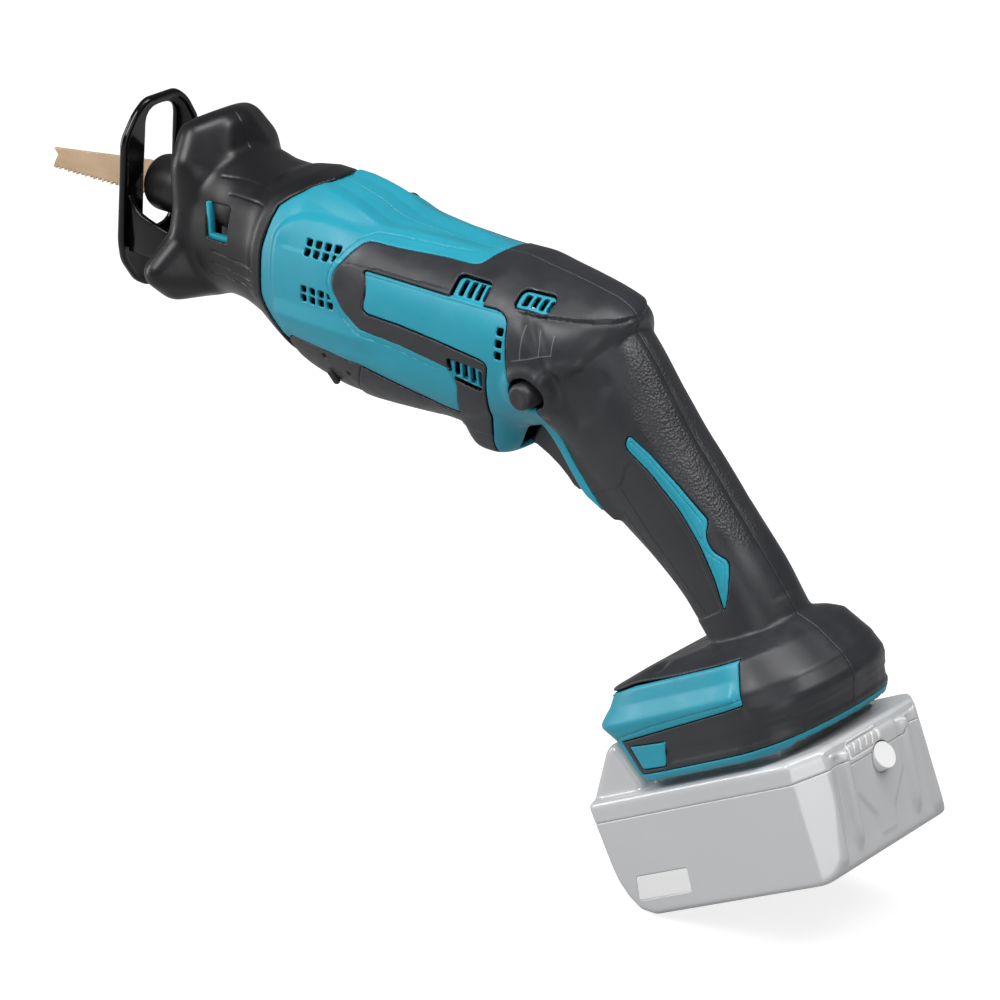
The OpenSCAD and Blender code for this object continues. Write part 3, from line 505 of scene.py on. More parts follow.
def grain(mat, scale, depth, detail=3.0, stretch=(1, 1, 1), voronoi=None, mask=None):
    """A fine moulded or cast texture in the shader's normal."""
    b = mat.node_tree.nodes["Principled BSDF"]
    at = place_of(mat, stretch)
    noise = node(mat, "ShaderNodeTexNoise", Scale=scale, Detail=detail, Roughness=0.6)
    wire(mat, at, "Vector", noise, "Vector")
    bump = node(mat, "ShaderNodeBump", Strength=1.0, Distance=depth * MM)
    height, out = noise, "Fac"
    if voronoi:
        cell = node(mat, "ShaderNodeTexVoronoi", Scale=voronoi[0], Randomness=1.0)
        wire(mat, at, "Vector", cell, "Vector")
        mix = node(mat, "ShaderNodeMath", operation="MULTIPLY_ADD")
        mix.inputs[1].default_value = voronoi[1]
        wire(mat, cell, "Distance", mix, 0)
        wire(mat, noise, "Fac", mix, 2)
        height, out = mix, "Value"
    if mask:
        amount = node(mat, "ShaderNodeAttribute", attribute_name=mask)
        times = node(mat, "ShaderNodeMath", operation="MULTIPLY")
        wire(mat, height, out, times, 0)
        wire(mat, amount, "Fac", times, 1)
        height, out = times, "Value"
    wire(mat, height, out, bump, "Height")
    last = b.inputs["Normal"].links
    if last:
        wire(mat, last[0].from_node, "Normal", bump, "Normal")
    wire(mat, bump, "Normal", b, "Normal")
    return bump


def blotch(mat, dark, light, scale, socket="Base Color", low=0.35, high=0.65, stretch=(1, 1, 1)):
    """A slow change of colour or roughness over the surface."""
    b = mat.node_tree.nodes["Principled BSDF"]
    at = place_of(mat, stretch)
    noise = node(mat, "ShaderNodeTexNoise", Scale=scale, Detail=4.0, Roughness=0.55)
    wire(mat, at, "Vector", noise, "Vector")
    ramp = node(mat, "ShaderNodeMapRange")
    ramp.inputs["From Min"].default_value, ramp.inputs["From Max"].default_value = low, high
    wire(mat, noise, "Fac", ramp, "Value")
    if socket == "Base Color":
        mix = node(mat, "ShaderNodeMix", data_type="RGBA")
        mix.inputs[6].default_value, mix.inputs[7].default_value = (*dark, 1), (*light, 1)
        wire(mat, ramp, "Result", mix, 0)
        wire(mat, mix, 2, b, socket)
    else:
        ramp.inputs["To Min"].default_value, ramp.inputs["To Max"].default_value = dark, light
        wire(mat, ramp, "Result", b, socket)


def tinted(mat, mask, colour):
    """Another base colour where the vertices are marked."""
    b = mat.node_tree.nodes["Principled BSDF"]
    before = b.inputs["Base Color"].links[0]
    amount = node(mat, "ShaderNodeAttribute", attribute_name=mask)
    mix = node(mat, "ShaderNodeMix", data_type="RGBA")
    mix.inputs[7].default_value = (*colour, 1)
    wire(mat, amount, "Fac", mix, 0)
    mat.node_tree.links.new(before.from_socket, mix.inputs[6])
    wire(mat, mix, 2, b, "Base Color")


teal = shader("teal moulding", (0.013, 0.262, 0.355), 0.36, Specular_IOR_Level=0.42)
blotch(teal, (0.012, 0.25, 0.34), (0.0145, 0.274, 0.37), 0.05)
blotch(teal, 0.34, 0.44, 0.12, "Roughness")
grain(teal, 4.0, 0.012)
rubber = shader("grip rubber", (0.036, 0.037, 0.041), 0.5)
blotch(rubber, (0.015, 0.0158, 0.019), (0.019, 0.02, 0.0242), 0.06)
blotch(rubber, 0.36, 0.47, 0.15, "Roughness")
grain(rubber, 5.0, 0.02)
grain(rubber, 1.1, 0.165, 4.0, voronoi=(0.95, 1.4), mask="leather")
tinted(rubber, "leather", (0.019, 0.0195, 0.023))
# A lighter grey on the scored lines beside the lock: painted highlight along their raised ridges.
tinted(rubber, "trace", (0.13, 0.133, 0.14))
boot_rubber = shader("boot rubber", (0.006, 0.0062, 0.0075), 0.36, Specular_IOR_Level=0.42)
blotch(boot_rubber, 0.3, 0.38, 0.1, "Roughness")
grain(boot_rubber, 4.0, 0.012)
black = shader("black moulding", (0.018, 0.018, 0.02), 0.45)
blotch(black, 0.4, 0.52, 0.2, "Roughness")
grain(black, 4.0, 0.012)
gloss_black = shader("black enamel", (0.0025, 0.0025, 0.003), 0.14, Specular_IOR_Level=0.32)
grain(gloss_black, 0.25, 0.05)
satin_black = shader("blackened steel", (0.012, 0.012, 0.013), 0.38, 0.3)
grain(satin_black, 2.0, 0.01)
blade_lacquer = shader("blade lacquer", (0.45, 0.31, 0.18), 0.36, 0.35)
blotch(blade_lacquer, (0.44, 0.305, 0.185), (0.53, 0.375, 0.235), 0.15, stretch=(0.3, 1, 1))
grain(blade_lacquer, 3.0, 0.01, stretch=(0.15, 1, 1))
steel = shader("turned steel", (0.62, 0.63, 0.65), 0.3, 1.0)
blotch(steel, 0.24, 0.4, 1.2, "Roughness", stretch=(0.2, 1, 1))
# The cast aluminium is darker than the bare metal: painted shade for the gear case, which is seen in shadow
# through the boot's windows.
cast = shader("cast aluminium", (0.24, 0.245, 0.25), 0.55, 0.8)
grain(cast, 1.5, 0.03)
bronze = shader("sintered bronze", (0.5, 0.36, 0.18), 0.45, 1.0)
grain(bronze, 3.0, 0.01)
copper = shader("winding copper", (0.62, 0.3, 0.15), 0.35, 1.0)
grain(copper, 1.2, 0.08, stretch=(0.2, 1, 1))
felt = shader("oiled felt", (0.16, 0.13, 0.10), 0.95, Sheen_Weight=0.4)
grain(felt, 3.0, 0.08)
ferrite = shader("ferrite", (0.05, 0.05, 0.055), 0.6)
grain(ferrite, 2.0, 0.03)
cell_wrap = shader("cell wrap", (0.11, 0.30, 0.17), 0.3)
blotch(cell_wrap, (0.10, 0.27, 0.15), (0.12, 0.33, 0.19), 0.2)
pack_grey = shader("pack moulding", (0.55, 0.555, 0.565), 0.22, Specular_IOR_Level=0.9)
blotch(pack_grey, (0.505, 0.51, 0.52), (0.515, 0.52, 0.53), 0.02)
grain(pack_grey, 4.0, 0.01)
pack_pale = shader("pack pale moulding", (0.8, 0.8, 0.8), 0.4)
grain(pack_pale, 4.0, 0.008)
carbon = shader("carbon", (0.03, 0.03, 0.03), 0.7)
grain(carbon, 3.0, 0.02)

BY_SLOT = {
    "teal": teal, "rubber": rubber, "black_plastic": black, "black_metal": gloss_black,
    "blade_metal": blade_lacquer, "case_metal": cast, "steel": steel, "bronze": bronze, "copper": copper,
    "magnet": ferrite, "carbon": carbon, "felt": felt, "pack_plastic": pack_grey,
    "white_plastic": pack_pale, "cell_wrap": cell_wrap}
for part in frame["record"]["subparts"]:
    cad = nodes[part["node"]]
    cad.data.materials.clear()
    cad.data.materials.append(BY_SLOT[part["material_slot"]])

# ---------------------------------------------------------------- housing and its rubber skin
side = lambda p: p[:, [0, 2]]
to_pack = np.array(TO_PACK)


def pack_side(p):
    """Points in the pack's own side view."""
    return (p @ to_pack[:3, :3].T + to_pack[:3, 3])[:, [0, 2]]


frame_line, belly_line = reach(rounded(RUBBER_FRAME)), reach(rounded(BELLY, 0.6))
wrap_line, flap_line, stripe_line = reach(rounded(WRAP, 0.5)), reach(FLAP), reach(rounded(STRIPE))
plate_line, louvre_lines = reach(rounded(PLATE, 0.5)), [reach(rounded(line, 0.6)) for line in LOUVRES]
boot_line = reach(BOOT_EDGE + [(-30, 60), (-30, -60)])
key_line = reach(rounded(KEY_HOLDER, 0.6))
trigger_well = reach(WELL)
bulge_line, hollow_line = reach(rounded(BULGE)), reach(rounded(HOLLOW))
inset_line, leather_line = reach(rounded(INSET)), reach(rounded(LEATHER))
score_lines, inset_lines = [trail(line) for line in SCORES], [trail(line) for line in INSET_LINES]
panel_line, foot_line, crest_line = trail(PANEL_LINE), trail(FOOT_LINE), trail(CREST)


# The folds on the barrel's top: place along the tool, distance from the middle
FOLD_X, FOLD_Y = [72, 80, 92, 103, 113, 124, 141, 160], [9, 11.7, 12.8, 13.1, 13.1, 10, 7.6, 6]
CREASE_Z, FOOT_TOP = 3.8, -90


def vent_view(p):
    """Side view for the air vents; the far side's rear vent sits a little lower."""
    x, y, z = p.T
    return np.stack([x, z + 2.2 * ease((x - 180) / 5) * ease((z + 2) / 4) * (y > 0)], -1)


def louvre_edge(p):
    """The openings of the louvres; negative inside, as for every edge below."""
    return np.minimum.reduce([line(vent_view(p)) for line in louvre_lines])


def frame_view(p):
    """Side view for the frame; the far side's upper edge sits a little lower."""
    x, y, z = p.T
    drop = 2.6 * ease((x - 108) / 8) * ease((163.5 - x) / 5) * ease((z - 7) / 3) * (y > 0)
    return np.stack([x, z + drop], -1)


def rubber_edge(p):
    """The rubber skin: frame, belly, wrap and flap, less the louvres and the bare plate."""
    covers = np.minimum.reduce([
        frame_line(frame_view(p)), belly_line(side(p)), wrap_line(pack_side(p)), flap_line(pack_side(p))])
    bare = np.maximum(np.minimum(louvre_edge(p), plate_line(pack_side(p))), 6 - np.abs(p[:, 1]))
    return np.maximum(covers, -bare)


def slot_edge(p):
    """The air vents, kept clear of the frame, of the middle and of one screw."""
    vents = np.maximum(boxes(vent_view(p), SLOTS), np.where(p[:, 0] < 115, 3.3 - frame_line(side(p)), -1))
    x, z, _ = SCREWS[0]
    near_screw = np.where(p[:, 1] > 0, 5.2 - np.hypot(p[:, 0] - x, p[:, 2] - z), -1)
    return np.maximum.reduce([vents, 8 - np.abs(p[:, 1]), near_screw])


def well(p):
    """The room behind the trigger."""
    return np.maximum(trigger_well(side(p)), np.abs(p[:, 1]) - 9.6)


def lock_hole(p):
    """The round hole for the lock button."""
    return np.hypot(p[:, 0] - LOCK[0], p[:, 2] - LOCK[1]) - 6.9


def key_screws(p):
    """Two small screw holes in the key holder's left side, and the deep ones on the right."""
    left = np.minimum.reduce([np.hypot(p[:, 0] - x, p[:, 2] - z) for x, z in KEY_SCREWS]) - 1.25
    right = np.minimum.reduce([np.hypot(p[:, 0] - x, p[:, 2] - z) for x, z, _ in SCREWS]) - 3.4
    return np.where(p[:, 1] < -10, left, np.where(p[:, 1] > 10, right, 9))


def barrel_form(x, y, z, view):
    """The side bulge, the folds above and beside it, the belly's chamfer and the lock's boss."""
    out = (1.7 * ease(-bulge_line(view) / 3.4) - 0.9) * span(x, 56, 150, 8, 40)
    out += (tent(np.abs(y) - np.interp(x, FOLD_X, FOLD_Y), 6, 1.7) - 0.5) * (z > 5) * span(x, 74, 165, 6, 20)
    out += tent(z + 21, 6, 1.2) * (np.abs(y) > 15) * span(x, 68, 135, 6, 20)
    to_cover = np.minimum(belly_line(view), key_line(view))
    out -= 0.9 * np.clip(1 - to_cover / 3.2, 0, 1) * ease((158 - x) / 12) * (z > -60)
    to_lock = np.hypot(x - LOCK[0], z - LOCK[1])
    out += 1.5 * ease((12.5 - to_lock) / 5) * (np.abs(y) > 12)
    return out


def cap_form(x, y, z, view):
    """The crease round the rear cap, and the hollow behind the lock with its crest."""
    above = z - CREASE_Z
    crease = np.where(above > 0, 0.5 * np.exp(-above / 4), -0.9 * np.exp(above / 3))
    out = span(x, 184, 240, 18, 10) * (z > -40) * crease * (0.35 + 0.65 * ease((np.abs(y) - 3) / 5))
    out -= 1.5 * ease(-hollow_line(view) / 7) * (np.abs(y) > 6)
    out += 1.1 * np.exp(-(crest_line(view) / 2.3) ** 2) * (np.abs(y) > 6) * ease((222 - x) / 10)
    return out


def spine_form(x, y, z, w):
    """The raised spine down the middle of the cap and the handle."""
    behind = np.where(x < 203, z + 20, (x - 203) * 0.703 + (z + 26) * 0.711)
    return 0.5 * np.exp(-(y / 5) ** 2) * ease((behind - 4) / 14) * ease((100 - w) / 3 + (x < 260))


def foot_form(y, z, u, w):
    """The folds round the foot and the recess of its band."""
    out = tent(w - 73, 6, 1.5) * (w < 80) * ease((90 - u) / 3)
    out += tent(w - 67.4, 5, 0.8) * (w < 74) * ease((u - 90) / 3)
    band = np.maximum(boxes(np.stack([u, w], 1), [(81, 58.2, 33, 2.9)], 1.5), 50 - w)
    return (out - 0.5 * ease(-band / 0.8)) * (z < FOOT_TOP)


def dimple_form(y, u, w):
    """A small dimple beside the middle of the flap; it also marks the cap's sides, far above it."""
    return -1.6 * np.exp(-((u - 48.5) ** 2 + (np.abs(y) - 26) ** 2) / 9) * (w > 82)


def form(p):
    """The large forms of the housing, as heights along the skin's normals."""
    x, y, z = p.T
    u, w = pack_side(p).T
    view = side(p)
    return (barrel_form(x, y, z, view) + cap_form(x, y, z, view) + spine_form(x, y, z, w)
            + foot_form(y, z, u, w) + dimple_form(y, u, w))


throat = side_slab(THROAT, -15.6, 15.6)
softened(throat, throat.edges[:], 1.6)
VOXEL = 0.86
skin = fused_skin([grid_body(body_section(BARREL), 90, 96), grid_body(body_section(HANDLE), 60, 80),
                   grid_body(foot_section, 48, 96), grid_body(nose_section, 24, 64), throat], VOXEL, 5)
pushed(skin, form)
stripe_edge = lambda p: np.maximum(stripe_line(side(p)), 6 - np.abs(p[:, 1]))
key_edge = lambda p: key_line(side(p))
boot_edge = lambda p: boot_line(side(p))


def groove_edge(p):
    """The thin line that follows the rubber frame on the outside."""
    x, z = p[:, 0], p[:, 2]
    inside_panel = (x > 116) & (z > -11.5 - (x - 116) * 0.14) & (z < 8)
    return np.where(inside_panel | (x > 157) | (z < -46), 9, frame_line(frame_view(p)))


# Half the gap between two pieces, the width of a rounded edge, half the width of a fine line
GAP, EDGE, FINE = 0.12, 0.4, 0.32
# How far the lines along the stripe and the frame run from its edge, and the width of the middle seam's edge
STRIPE_IN, GROOVE_OUT, SEAM = 1.5, 2.3, 0.45
CUTS = [
    (lambda p: p[:, 1], (-SEAM, SEAM)),
    (rubber_edge, (-GAP - EDGE, -GAP, GAP, GAP + EDGE)),
    (stripe_edge, (-GAP, -STRIPE_IN, -STRIPE_IN - FINE, -STRIPE_IN + FINE, GAP, GAP + EDGE)),
    (key_edge, (-GAP, GAP, GAP + EDGE)),
    (boot_edge, (GAP, GAP + EDGE)),
    (groove_edge, (GROOVE_OUT, GROOVE_OUT - FINE, GROOVE_OUT + FINE)),
    (slot_edge, (0, SLOT_LIP)),
    (lambda p: panel_line(side(p)), (0, -FINE, FINE)),
    (lambda p: foot_line(pack_side(p)), (0, -FINE, FINE)),
    (lambda p: inset_line(side(p)), (0, -0.7)),
    (well, (0,)), (lock_hole, (0,)), (key_screws, (0,))]
everything = skin.verts[:] + skin.edges[:] + skin.faces[:]
bmesh.ops.bisect_plane(skin, geom=everything, plane_co=(0, 0, 0), plane_no=(0, 1, 0), dist=1e-4)
for field, levels in CUTS:
    slit(skin, field, levels)
for line in score_lines + inset_lines:
    slit(skin, lambda p: line(side(p)), (0, -FINE, FINE))
mid = centres(skin)
zone_rubber, zone_key = rubber_edge(mid), key_edge(mid)
zone_stripe, zone_boot = stripe_edge(mid), boot_edge(mid)
under = pack_side(mid)
hole = ((well(mid) < 0) | ((lock_hole(mid) < 0) & (np.abs(mid[:, 1]) > 12)) | (slot_edge(mid) < 0)
        | (key_screws(mid) < 0) | ((under[:, 1] < 51.0) & (np.abs(mid[:, 1]) < 27.4) & (mid[:, 2] < -100)))
is_key = (zone_key < -GAP) & (zone_boot > GAP) & ~hole
is_stripe = (zone_stripe < -GAP) & ~hole
is_rubber = (zone_rubber < -GAP) & (zone_key > GAP) & (zone_stripe > GAP) & ~hole
is_teal = (zone_rubber > GAP) & (zone_key > GAP) & (zone_boot > GAP) & ~hole


def ditch(d, half, deep):
    """A fine groove with sloping sides."""
    return -deep * np.clip(1 - np.abs(d) / half, 0, 1)


def seam(p):
    """The rounded edge where the two halves meet."""
    return lip(np.abs(p[:, 1]), SEAM, 0.22)


def rubber_depth(p):
    """The rubber's edges, the raised frame and flap, the scored lines and the sunk inset."""
    view, under = side(p), pack_side(p)
    d = np.minimum.reduce([-rubber_edge(p), key_edge(p), stripe_edge(p)]) - GAP
    out = lip(d, EDGE, 0.35) + seam(p) + 0.55 * ease((184 - p[:, 0]) / 12) * (p[:, 2] > -50)
    out += 1.0 * ease((62 - under[:, 0]) / 22) * (flap_line(under) < 0) * (p[:, 2] < FOOT_TOP)
    scored = sum(-ditch(line(view), FINE, 0.04) for line in score_lines)
    out += np.where(np.abs(p[:, 1]) > 12, scored, 0)
    sunk = -0.35 * ease(-inset_line(view) / 0.7) + sum(ditch(line(view), FINE, 0.25) for line in inset_lines)
    return out + np.where(inset_line(view) < 0, sunk, 0)


def teal_depth(p):
    """The shell's edges, its fine lines and the sunk grilles behind the louvres."""
    z = p[:, 2]
    sides = np.abs(p[:, 1]) > 8
    d = np.minimum.reduce([rubber_edge(p), key_edge(p), boot_edge(p)]) - GAP
    out = lip(d, EDGE, 0.3) + seam(p) + lip(slot_edge(p), SLOT_LIP, 0.3)
    lines = ditch(groove_edge(p) - GROOVE_OUT, FINE, 0.3)
    lines += ditch(panel_line(side(p)), FINE, 0.25) + ditch(foot_line(pack_side(p)), FINE, 0.35)
    out += np.where(sides, lines, 0)
    grille = (louvre_edge(p) < 0) & (((rubber_edge(p) > -1) & (z > 3.6)) | (z < -18.5))
    return out - np.where(grille, GRILLE, 0)


def marked(bm, **amounts):
    """Writes amounts between 0 and 1 on the vertices for the material."""
    at_verts = coords(bm)
    for name, field in amounts.items():
        layer = bm.verts.layers.float.new(name)
        for v, a in zip(bm.verts, field(at_verts)):
            v[layer] = float(a)


def leather(p):
    """Where the handle has its grain, fading out at its borders and at the middle seam."""
    hand = -1 if p[:, 1].mean() < 0 else 1
    return ease(-leather_line(side(p)) / 3.5) * ease((hand * p[:, 1] - 0.6) / 1.5)


def trace(p):
    """The scored lines beside the lock button, tinted lighter: a painted highlight on their raised ridges."""
    lines = sum(np.clip(1 - np.abs(line(side(p))) / FINE, 0, 1) for line in score_lines)
    return np.where(np.abs(p[:, 1]) > 12, lines, 0)


def inlay_depth(p):
    d = stripe_edge(p)
    return lip(-d - GAP, 1.3, 0.35) + ditch(d + STRIPE_IN, FINE, 0.3) - 0.1


for hand, sign in (("left", -1), ("right", 1)):
    here = mid[:, 1] * sign > 0
    part = kept(skin, is_teal & here)
    pushed(part, teal_depth)
    finish_piece(f"shell_{hand}", part, "housing", "teal", teal, [f"housing_{hand}"], wall=1.8)
    part = kept(skin, is_rubber & here)
    marked(part, leather=leather, trace=trace)
    pushed(part, rubber_depth)
    finish_piece(f"skin_{hand}", part, "housing", "rubber", rubber, [f"grip_{hand}"], wall=1.4)
    part = kept(skin, is_stripe & here)
    pushed(part, inlay_depth)
    finish_piece(f"inlay_{hand}", part, "housing", "teal", teal, [f"stripe_{hand}"], wall=1.0)
part = kept(skin, is_key)
pushed(part, lambda p: lip(-key_edge(p) - GAP, EDGE, 0.3))
finish_piece("key_clip", part, "housing", "black_plastic", black, ["key_holder"], wall=1.6)
skin.free()

# ---------------------------------------------------------------- front boot


def hull_of(points):
    """The closed body stretched round some points."""
    bm = bmesh.new()
    for p in points:
        bm.verts.new(p)
    hull = bmesh.ops.convex_hull(bm, input=bm.verts)
    spare = {g for g in hull["geom_interior"] + hull["geom_unused"] if isinstance(g, bmesh.types.BMVert)}
    bmesh.ops.delete(bm, geom=list(spare), context="VERTS")
    bmesh.ops.recalc_face_normals(bm, faces=bm.faces)
    return bm


def knuckle(balls):
    """One smooth lump round a few balls: x, y, z, radius."""
    ball = bmesh.new()
    bmesh.ops.create_icosphere(ball, subdivisions=3, radius=1)
    unit = coords(ball)
    ball.free()
    return hull_of(np.concatenate([np.array(b[:3]) + b[3] * unit for b in balls]))


# One side of the boot as rows of balls: x, y, z, radius
R = 8.0
HUMP = [(17, 13, 31, R), (21.5, 4, 33.2, R), (18.6, 18.8, 22.5, R), (26.5, 11, 18, R), (19, 19, 12, R)]
CHEEK = [(18.6, 18.8, 22.5, R), (19.2, 19.2, 6, R), (25, 13.5, 16, R), (27, 16, 0, R)]
WAIST = [(19.2, 19.2, 6, R), (17.5, 21, -8, R), (27, 16, 0, R), (25, 16, -18, R)]
EAR = [
    (17.5, 21, -8, R), (12, 31.8, -19.5, R * 0.85), (12.5, 24, -25, R), (24, 16, -22, R),
    (14, 8, -27.5, R)]
CHIN = [(14, 8, -27.5, R), (24, 13, -23.5, R)]


def flipped(balls):
    return [(x, -y, z, r) for x, y, z, r in balls]


lumps = [knuckle(flipped(HUMP) + HUMP), knuckle(flipped(CHIN) + CHIN)]
for balls in (CHEEK, WAIST, EAR):
    lumps += [knuckle(flipped(balls)), knuckle(balls)]
boot = fused_skin(lumps + [grid_body(body_section(NECK), 70, 96)], 0.85, 40)


def mouth(p):
    """The front opening, where the clamp works."""
    half = superellipse(21.6, 24.6, 2.6, np.arctan2(p[:, 2] + 3, np.abs(p[:, 1])))
    return np.hypot(p[:, 1], p[:, 2] + 3) - np.hypot(*half)


def window(p):
    """The small opening in each side of the neck."""
    q = np.stack([np.abs(p[:, 0] - 39.1) - 5.7 + 1.2, np.abs(p[:, 2] - 5.2) - 6.8 + 1.2], -1)
    return np.hypot(*np.maximum(q, 0).T) + np.minimum(q.max(1), 0) - 1.2


boot_lines, rib_lines = [trail(line) for line in BOOT_LINES], [trail(line) for line in RIB_LINES]
slit(boot, boot_edge, (-0.05, -0.7))
slit(boot, mouth)
slit(boot, lambda p: np.where(np.abs(p[:, 0] - 27.5) < 6, p[:, 1], 9), (0, -0.4, 0.4))
slit(boot, window, (0, 0.6))
for line in boot_lines + rib_lines:
    slit(boot, lambda p: line(side(p)), (0, -0.6, 0.6))
mid = centres(boot)
in_mouth = (mouth(mid) < 0) & (mid[:, 0] < 12)
in_window = (window(mid) < 0) & (np.abs(mid[:, 1]) > 12)
boot = kept(boot, ~((boot_edge(mid) > -0.05) | in_mouth | in_window))


def boot_depth(p):
    """The boot's edges, its folds and ribs, the nick in its front edge and the swell behind it."""
    x, y, z = p.T
    flank = lip(window(p), 0.6, 0.4)
    flank += sum(ditch(line(side(p)), 0.6, 0.25) for line in boot_lines)
    flank += sum(ditch(line(side(p)), 0.6, 0.5) for line in rib_lines)
    out = lip(-boot_edge(p) - 0.05, 0.65, 0.4) + np.where(np.abs(y) > 12, flank, 0)
    out += ditch(y, 0.4, 0.45) * (z > 26) * (x > 22) * (x < 33)
    out += tent(-boot_edge(p) - 4.5, 3.5, 0.4) * (z > -20)
    return out


pushed(boot, boot_depth)
finish_piece("boot", boot, "housing", "rubber", boot_rubber, ["front_boot"], wall=2.4)

# ---------------------------------------------------------------- battery pack, made in its own frame


def faces_of(outline, axes):
    """The outward planes of a convex outline that turns left: normal and distance."""
    planes = []
    for (ax, ay), (bx, by) in zip(outline, outline[1:] + outline[:1]):
        length = math.hypot(bx - ax, by - ay)
        if length < 1e-6:
            continue
        n = np.zeros(3)
        n[axes[0]], n[axes[1]] = (by - ay) / length, -(bx - ax) / length
        planes.append((*n, n[axes[0]] * ax + n[axes[1]] * ay))
    return planes


def moulded(planes, r):
    """The solid inside the planes, with every edge rounded by r."""
    n, d = np.array([p[:3] for p in planes]), np.array([p[3] for p in planes]) - r
    corners = []
    for trio in itertools.combinations(range(len(n)), 3):
        m = n[list(trio)]
        if abs(np.linalg.det(m)) > 1e-4:
            c = np.linalg.solve(m, d[list(trio)])
            if (n @ c <= d + 1e-6).all():
                corners.append((*c, r))
    return knuckle(corners)


def pack_form(p):
    """Ribs, grooves and the raised panel of the pack's rear."""
    u, y, w = p.T
    side_y = np.abs(y)
    rear = ease((u - 101) / 4) * ease((27.5 - side_y) / 3) * (w < 44.5)
    rib = 2.8 * np.exp(-((side_y - 17.4) / 1.9) ** 2) * ease((w - 3) / 10) * ease((44 - w) / 3)
    groove = -1.0 * np.exp(-((side_y - 21.4) / 1.4) ** 2) * ease((w - 6) / 12) * ease((43 - w) / 3)
    half = np.interp(w, [4, 6, 14, 25], [4, 5, 6, 14])
    panel = 0.7 * ease((half - side_y) / 0.9) * ease((w - 4) / 3)
    collar = 0.35 * ease((7.6 - np.hypot(y - 2.5, w - 32)) / 0.7)
    out = rear * (-2.2 + rib + groove + np.maximum(panel, collar))
    out += 0.8 * np.exp(-((y + 22) ** 2 + (w - 44) ** 2) / 5) * (u > 104)
    return out


def seam_height(p):
    """Height over the joint between the pack's top and base."""
    u, y, w = p.T
    return w - 38.5 + 2.4 * ease((u - 104) / 3) * ease((17 - np.abs(y)) / 1.5)


def gauge_edge(p):
    """Outline and bars of the charge gauge on the rear."""
    q = np.stack([np.abs(p[:, 1] + 5.5) - 8.4, np.abs(p[:, 2] - 41.2) - 3.3])
    box = np.hypot(*np.maximum(q, 0)) + np.minimum(q.max(0), 0)
    knob = np.stack([np.abs(p[:, 1] - 3.5) - 0.7, np.abs(p[:, 2] - 41.2) - 1.5]).max(0)
    strokes = [trail([(y - 0.5, 39.6), (y + 0.5, 42.8)]) for y in (-11, -7.4, -3.8, -0.3)]
    bars = np.minimum.reduce([np.abs(line(p[:, 1:])) - 0.42 for line in strokes])
    return np.maximum(np.minimum.reduce([np.abs(box) - 0.38, knob, bars]), 104 - p[:, 0])


def label_edge(p):
    """The plain labels on both sides."""
    return np.maximum(label_line(p[:, [0, 2]]), 30 - np.abs(p[:, 1]))


def pack_gaps(p):
    """Room for the latch, the terminals and the screws; negative inside."""
    u, y, w = p.T
    side_y = np.abs(y)
    latch = np.max([1.6 - u, u - 16.4, side_y - 12.4, 48 - w], 0)
    blades = np.max([62.2 - u, u - 91.5, 6.7 - side_y, side_y - 11.5, 57 - w], 0)
    to_screw = np.minimum(np.hypot(u - 11.5, side_y - 33.6), np.hypot(u - 93, side_y - 33.6))
    screws = np.max([to_screw - 1.36, w - 6], 0)
    return np.minimum.reduce([latch, blades, screws])


def check_hole(p):
    """The round hole of the check button in the rear."""
    u, y, w = p.T
    across = (w - 32) * math.sin(math.radians(78)) - (u - 104) * math.cos(math.radians(78))
    return np.maximum(np.hypot(y - 2.5, across) - 5.3, 100 - u)


label_line = reach(rounded(LABEL, 0.4))
# How much the flats on the rear corners lean inward toward the top
FACET_LEAN = 0.09
facets = []
for hand in (-1, 1):
    across = Vector((12.5, hand * 12, -12.5 * FACET_LEAN)).normalized()
    facets.append((*across, across.dot(Vector((112, hand * 25, 40)))))
pack_body = moulded(faces_of(PACK_SIDE, (0, 2)) + faces_of(PACK_PLAN, (0, 1)) + facets, 2.3)
dome = moulded(faces_of(DOME, (0, 2)) + [(0, 1, 0, 34), (0, -1, 0, 34)], 3.0)
rails = [side_slab([(22, 44), (22, 61.2), (90, 61.2), (90, 44)], -26.6, 26.6),
         side_slab([(30, 54.4), (30, 61.2), (90, 61.2), (90, 54.4)], -30, 30)]
pack = fused_skin([pack_body, dome] + rails, 0.85, 4)
pushed(pack, pack_form)
PACK_CUTS = [
    (seam_height, (0, 0.5, -0.5)), (gauge_edge, (0,)), (label_edge, (0,)), (pack_gaps, (0,)),
    (check_hole, (0, 0.5))]
for field, levels in PACK_CUTS:
    slit(pack, field, levels)
mid = centres(pack)
zone_seam, zone_marks = seam_height(mid), np.minimum(gauge_edge(mid), label_edge(mid))
open_faces = (pack_gaps(mid) < 0) | (check_hole(mid) < 0)
top, marks = zone_seam > 0, zone_marks < 0
plain = zone_marks > 0
PACK_PIECES = [
    ("pack_top", top & plain, "pack_plastic", pack_grey, "pack_upper", 2.0),
    ("pack_base", ~top & plain, "pack_plastic", pack_grey, "pack_lower", 2.0),
    ("pack_marks", marks, "white_plastic", pack_pale, "pack_gauge", 0.6)]


def pack_depth(p):
    return lip(np.abs(seam_height(p)), 0.5, 0.3) * (p[:, 2] < 45) + lip(check_hole(p), 0.5, 0.25)


for name, mask, slot, material, stands_for, wall in PACK_PIECES:
    part = kept(pack, mask & ~open_faces)
    pushed(part, pack_depth)
    bmesh.ops.transform(part, matrix=PACK_AT, verts=part.verts)
    finish_piece(name, part, "battery", slot, material, [stands_for], wall=wall)
pack.free()

# ---------------------------------------------------------------- shoe
# Half height and half width, and the right half of the outline from the top
SHOE_H, SHOE_W = 41.5, 20.4
LOOP = [
    (8.4, 40.3), (14.4, 35.3), (SHOE_W, 25.5), (SHOE_W, -18.5), (18.5, -27.5), (11.5, -37.5),
    (5, -SHOE_H)]
SLOT = [(8.3, -16.5), (8.3, 36), (-8.3, 36), (-8.3, -16.5)]
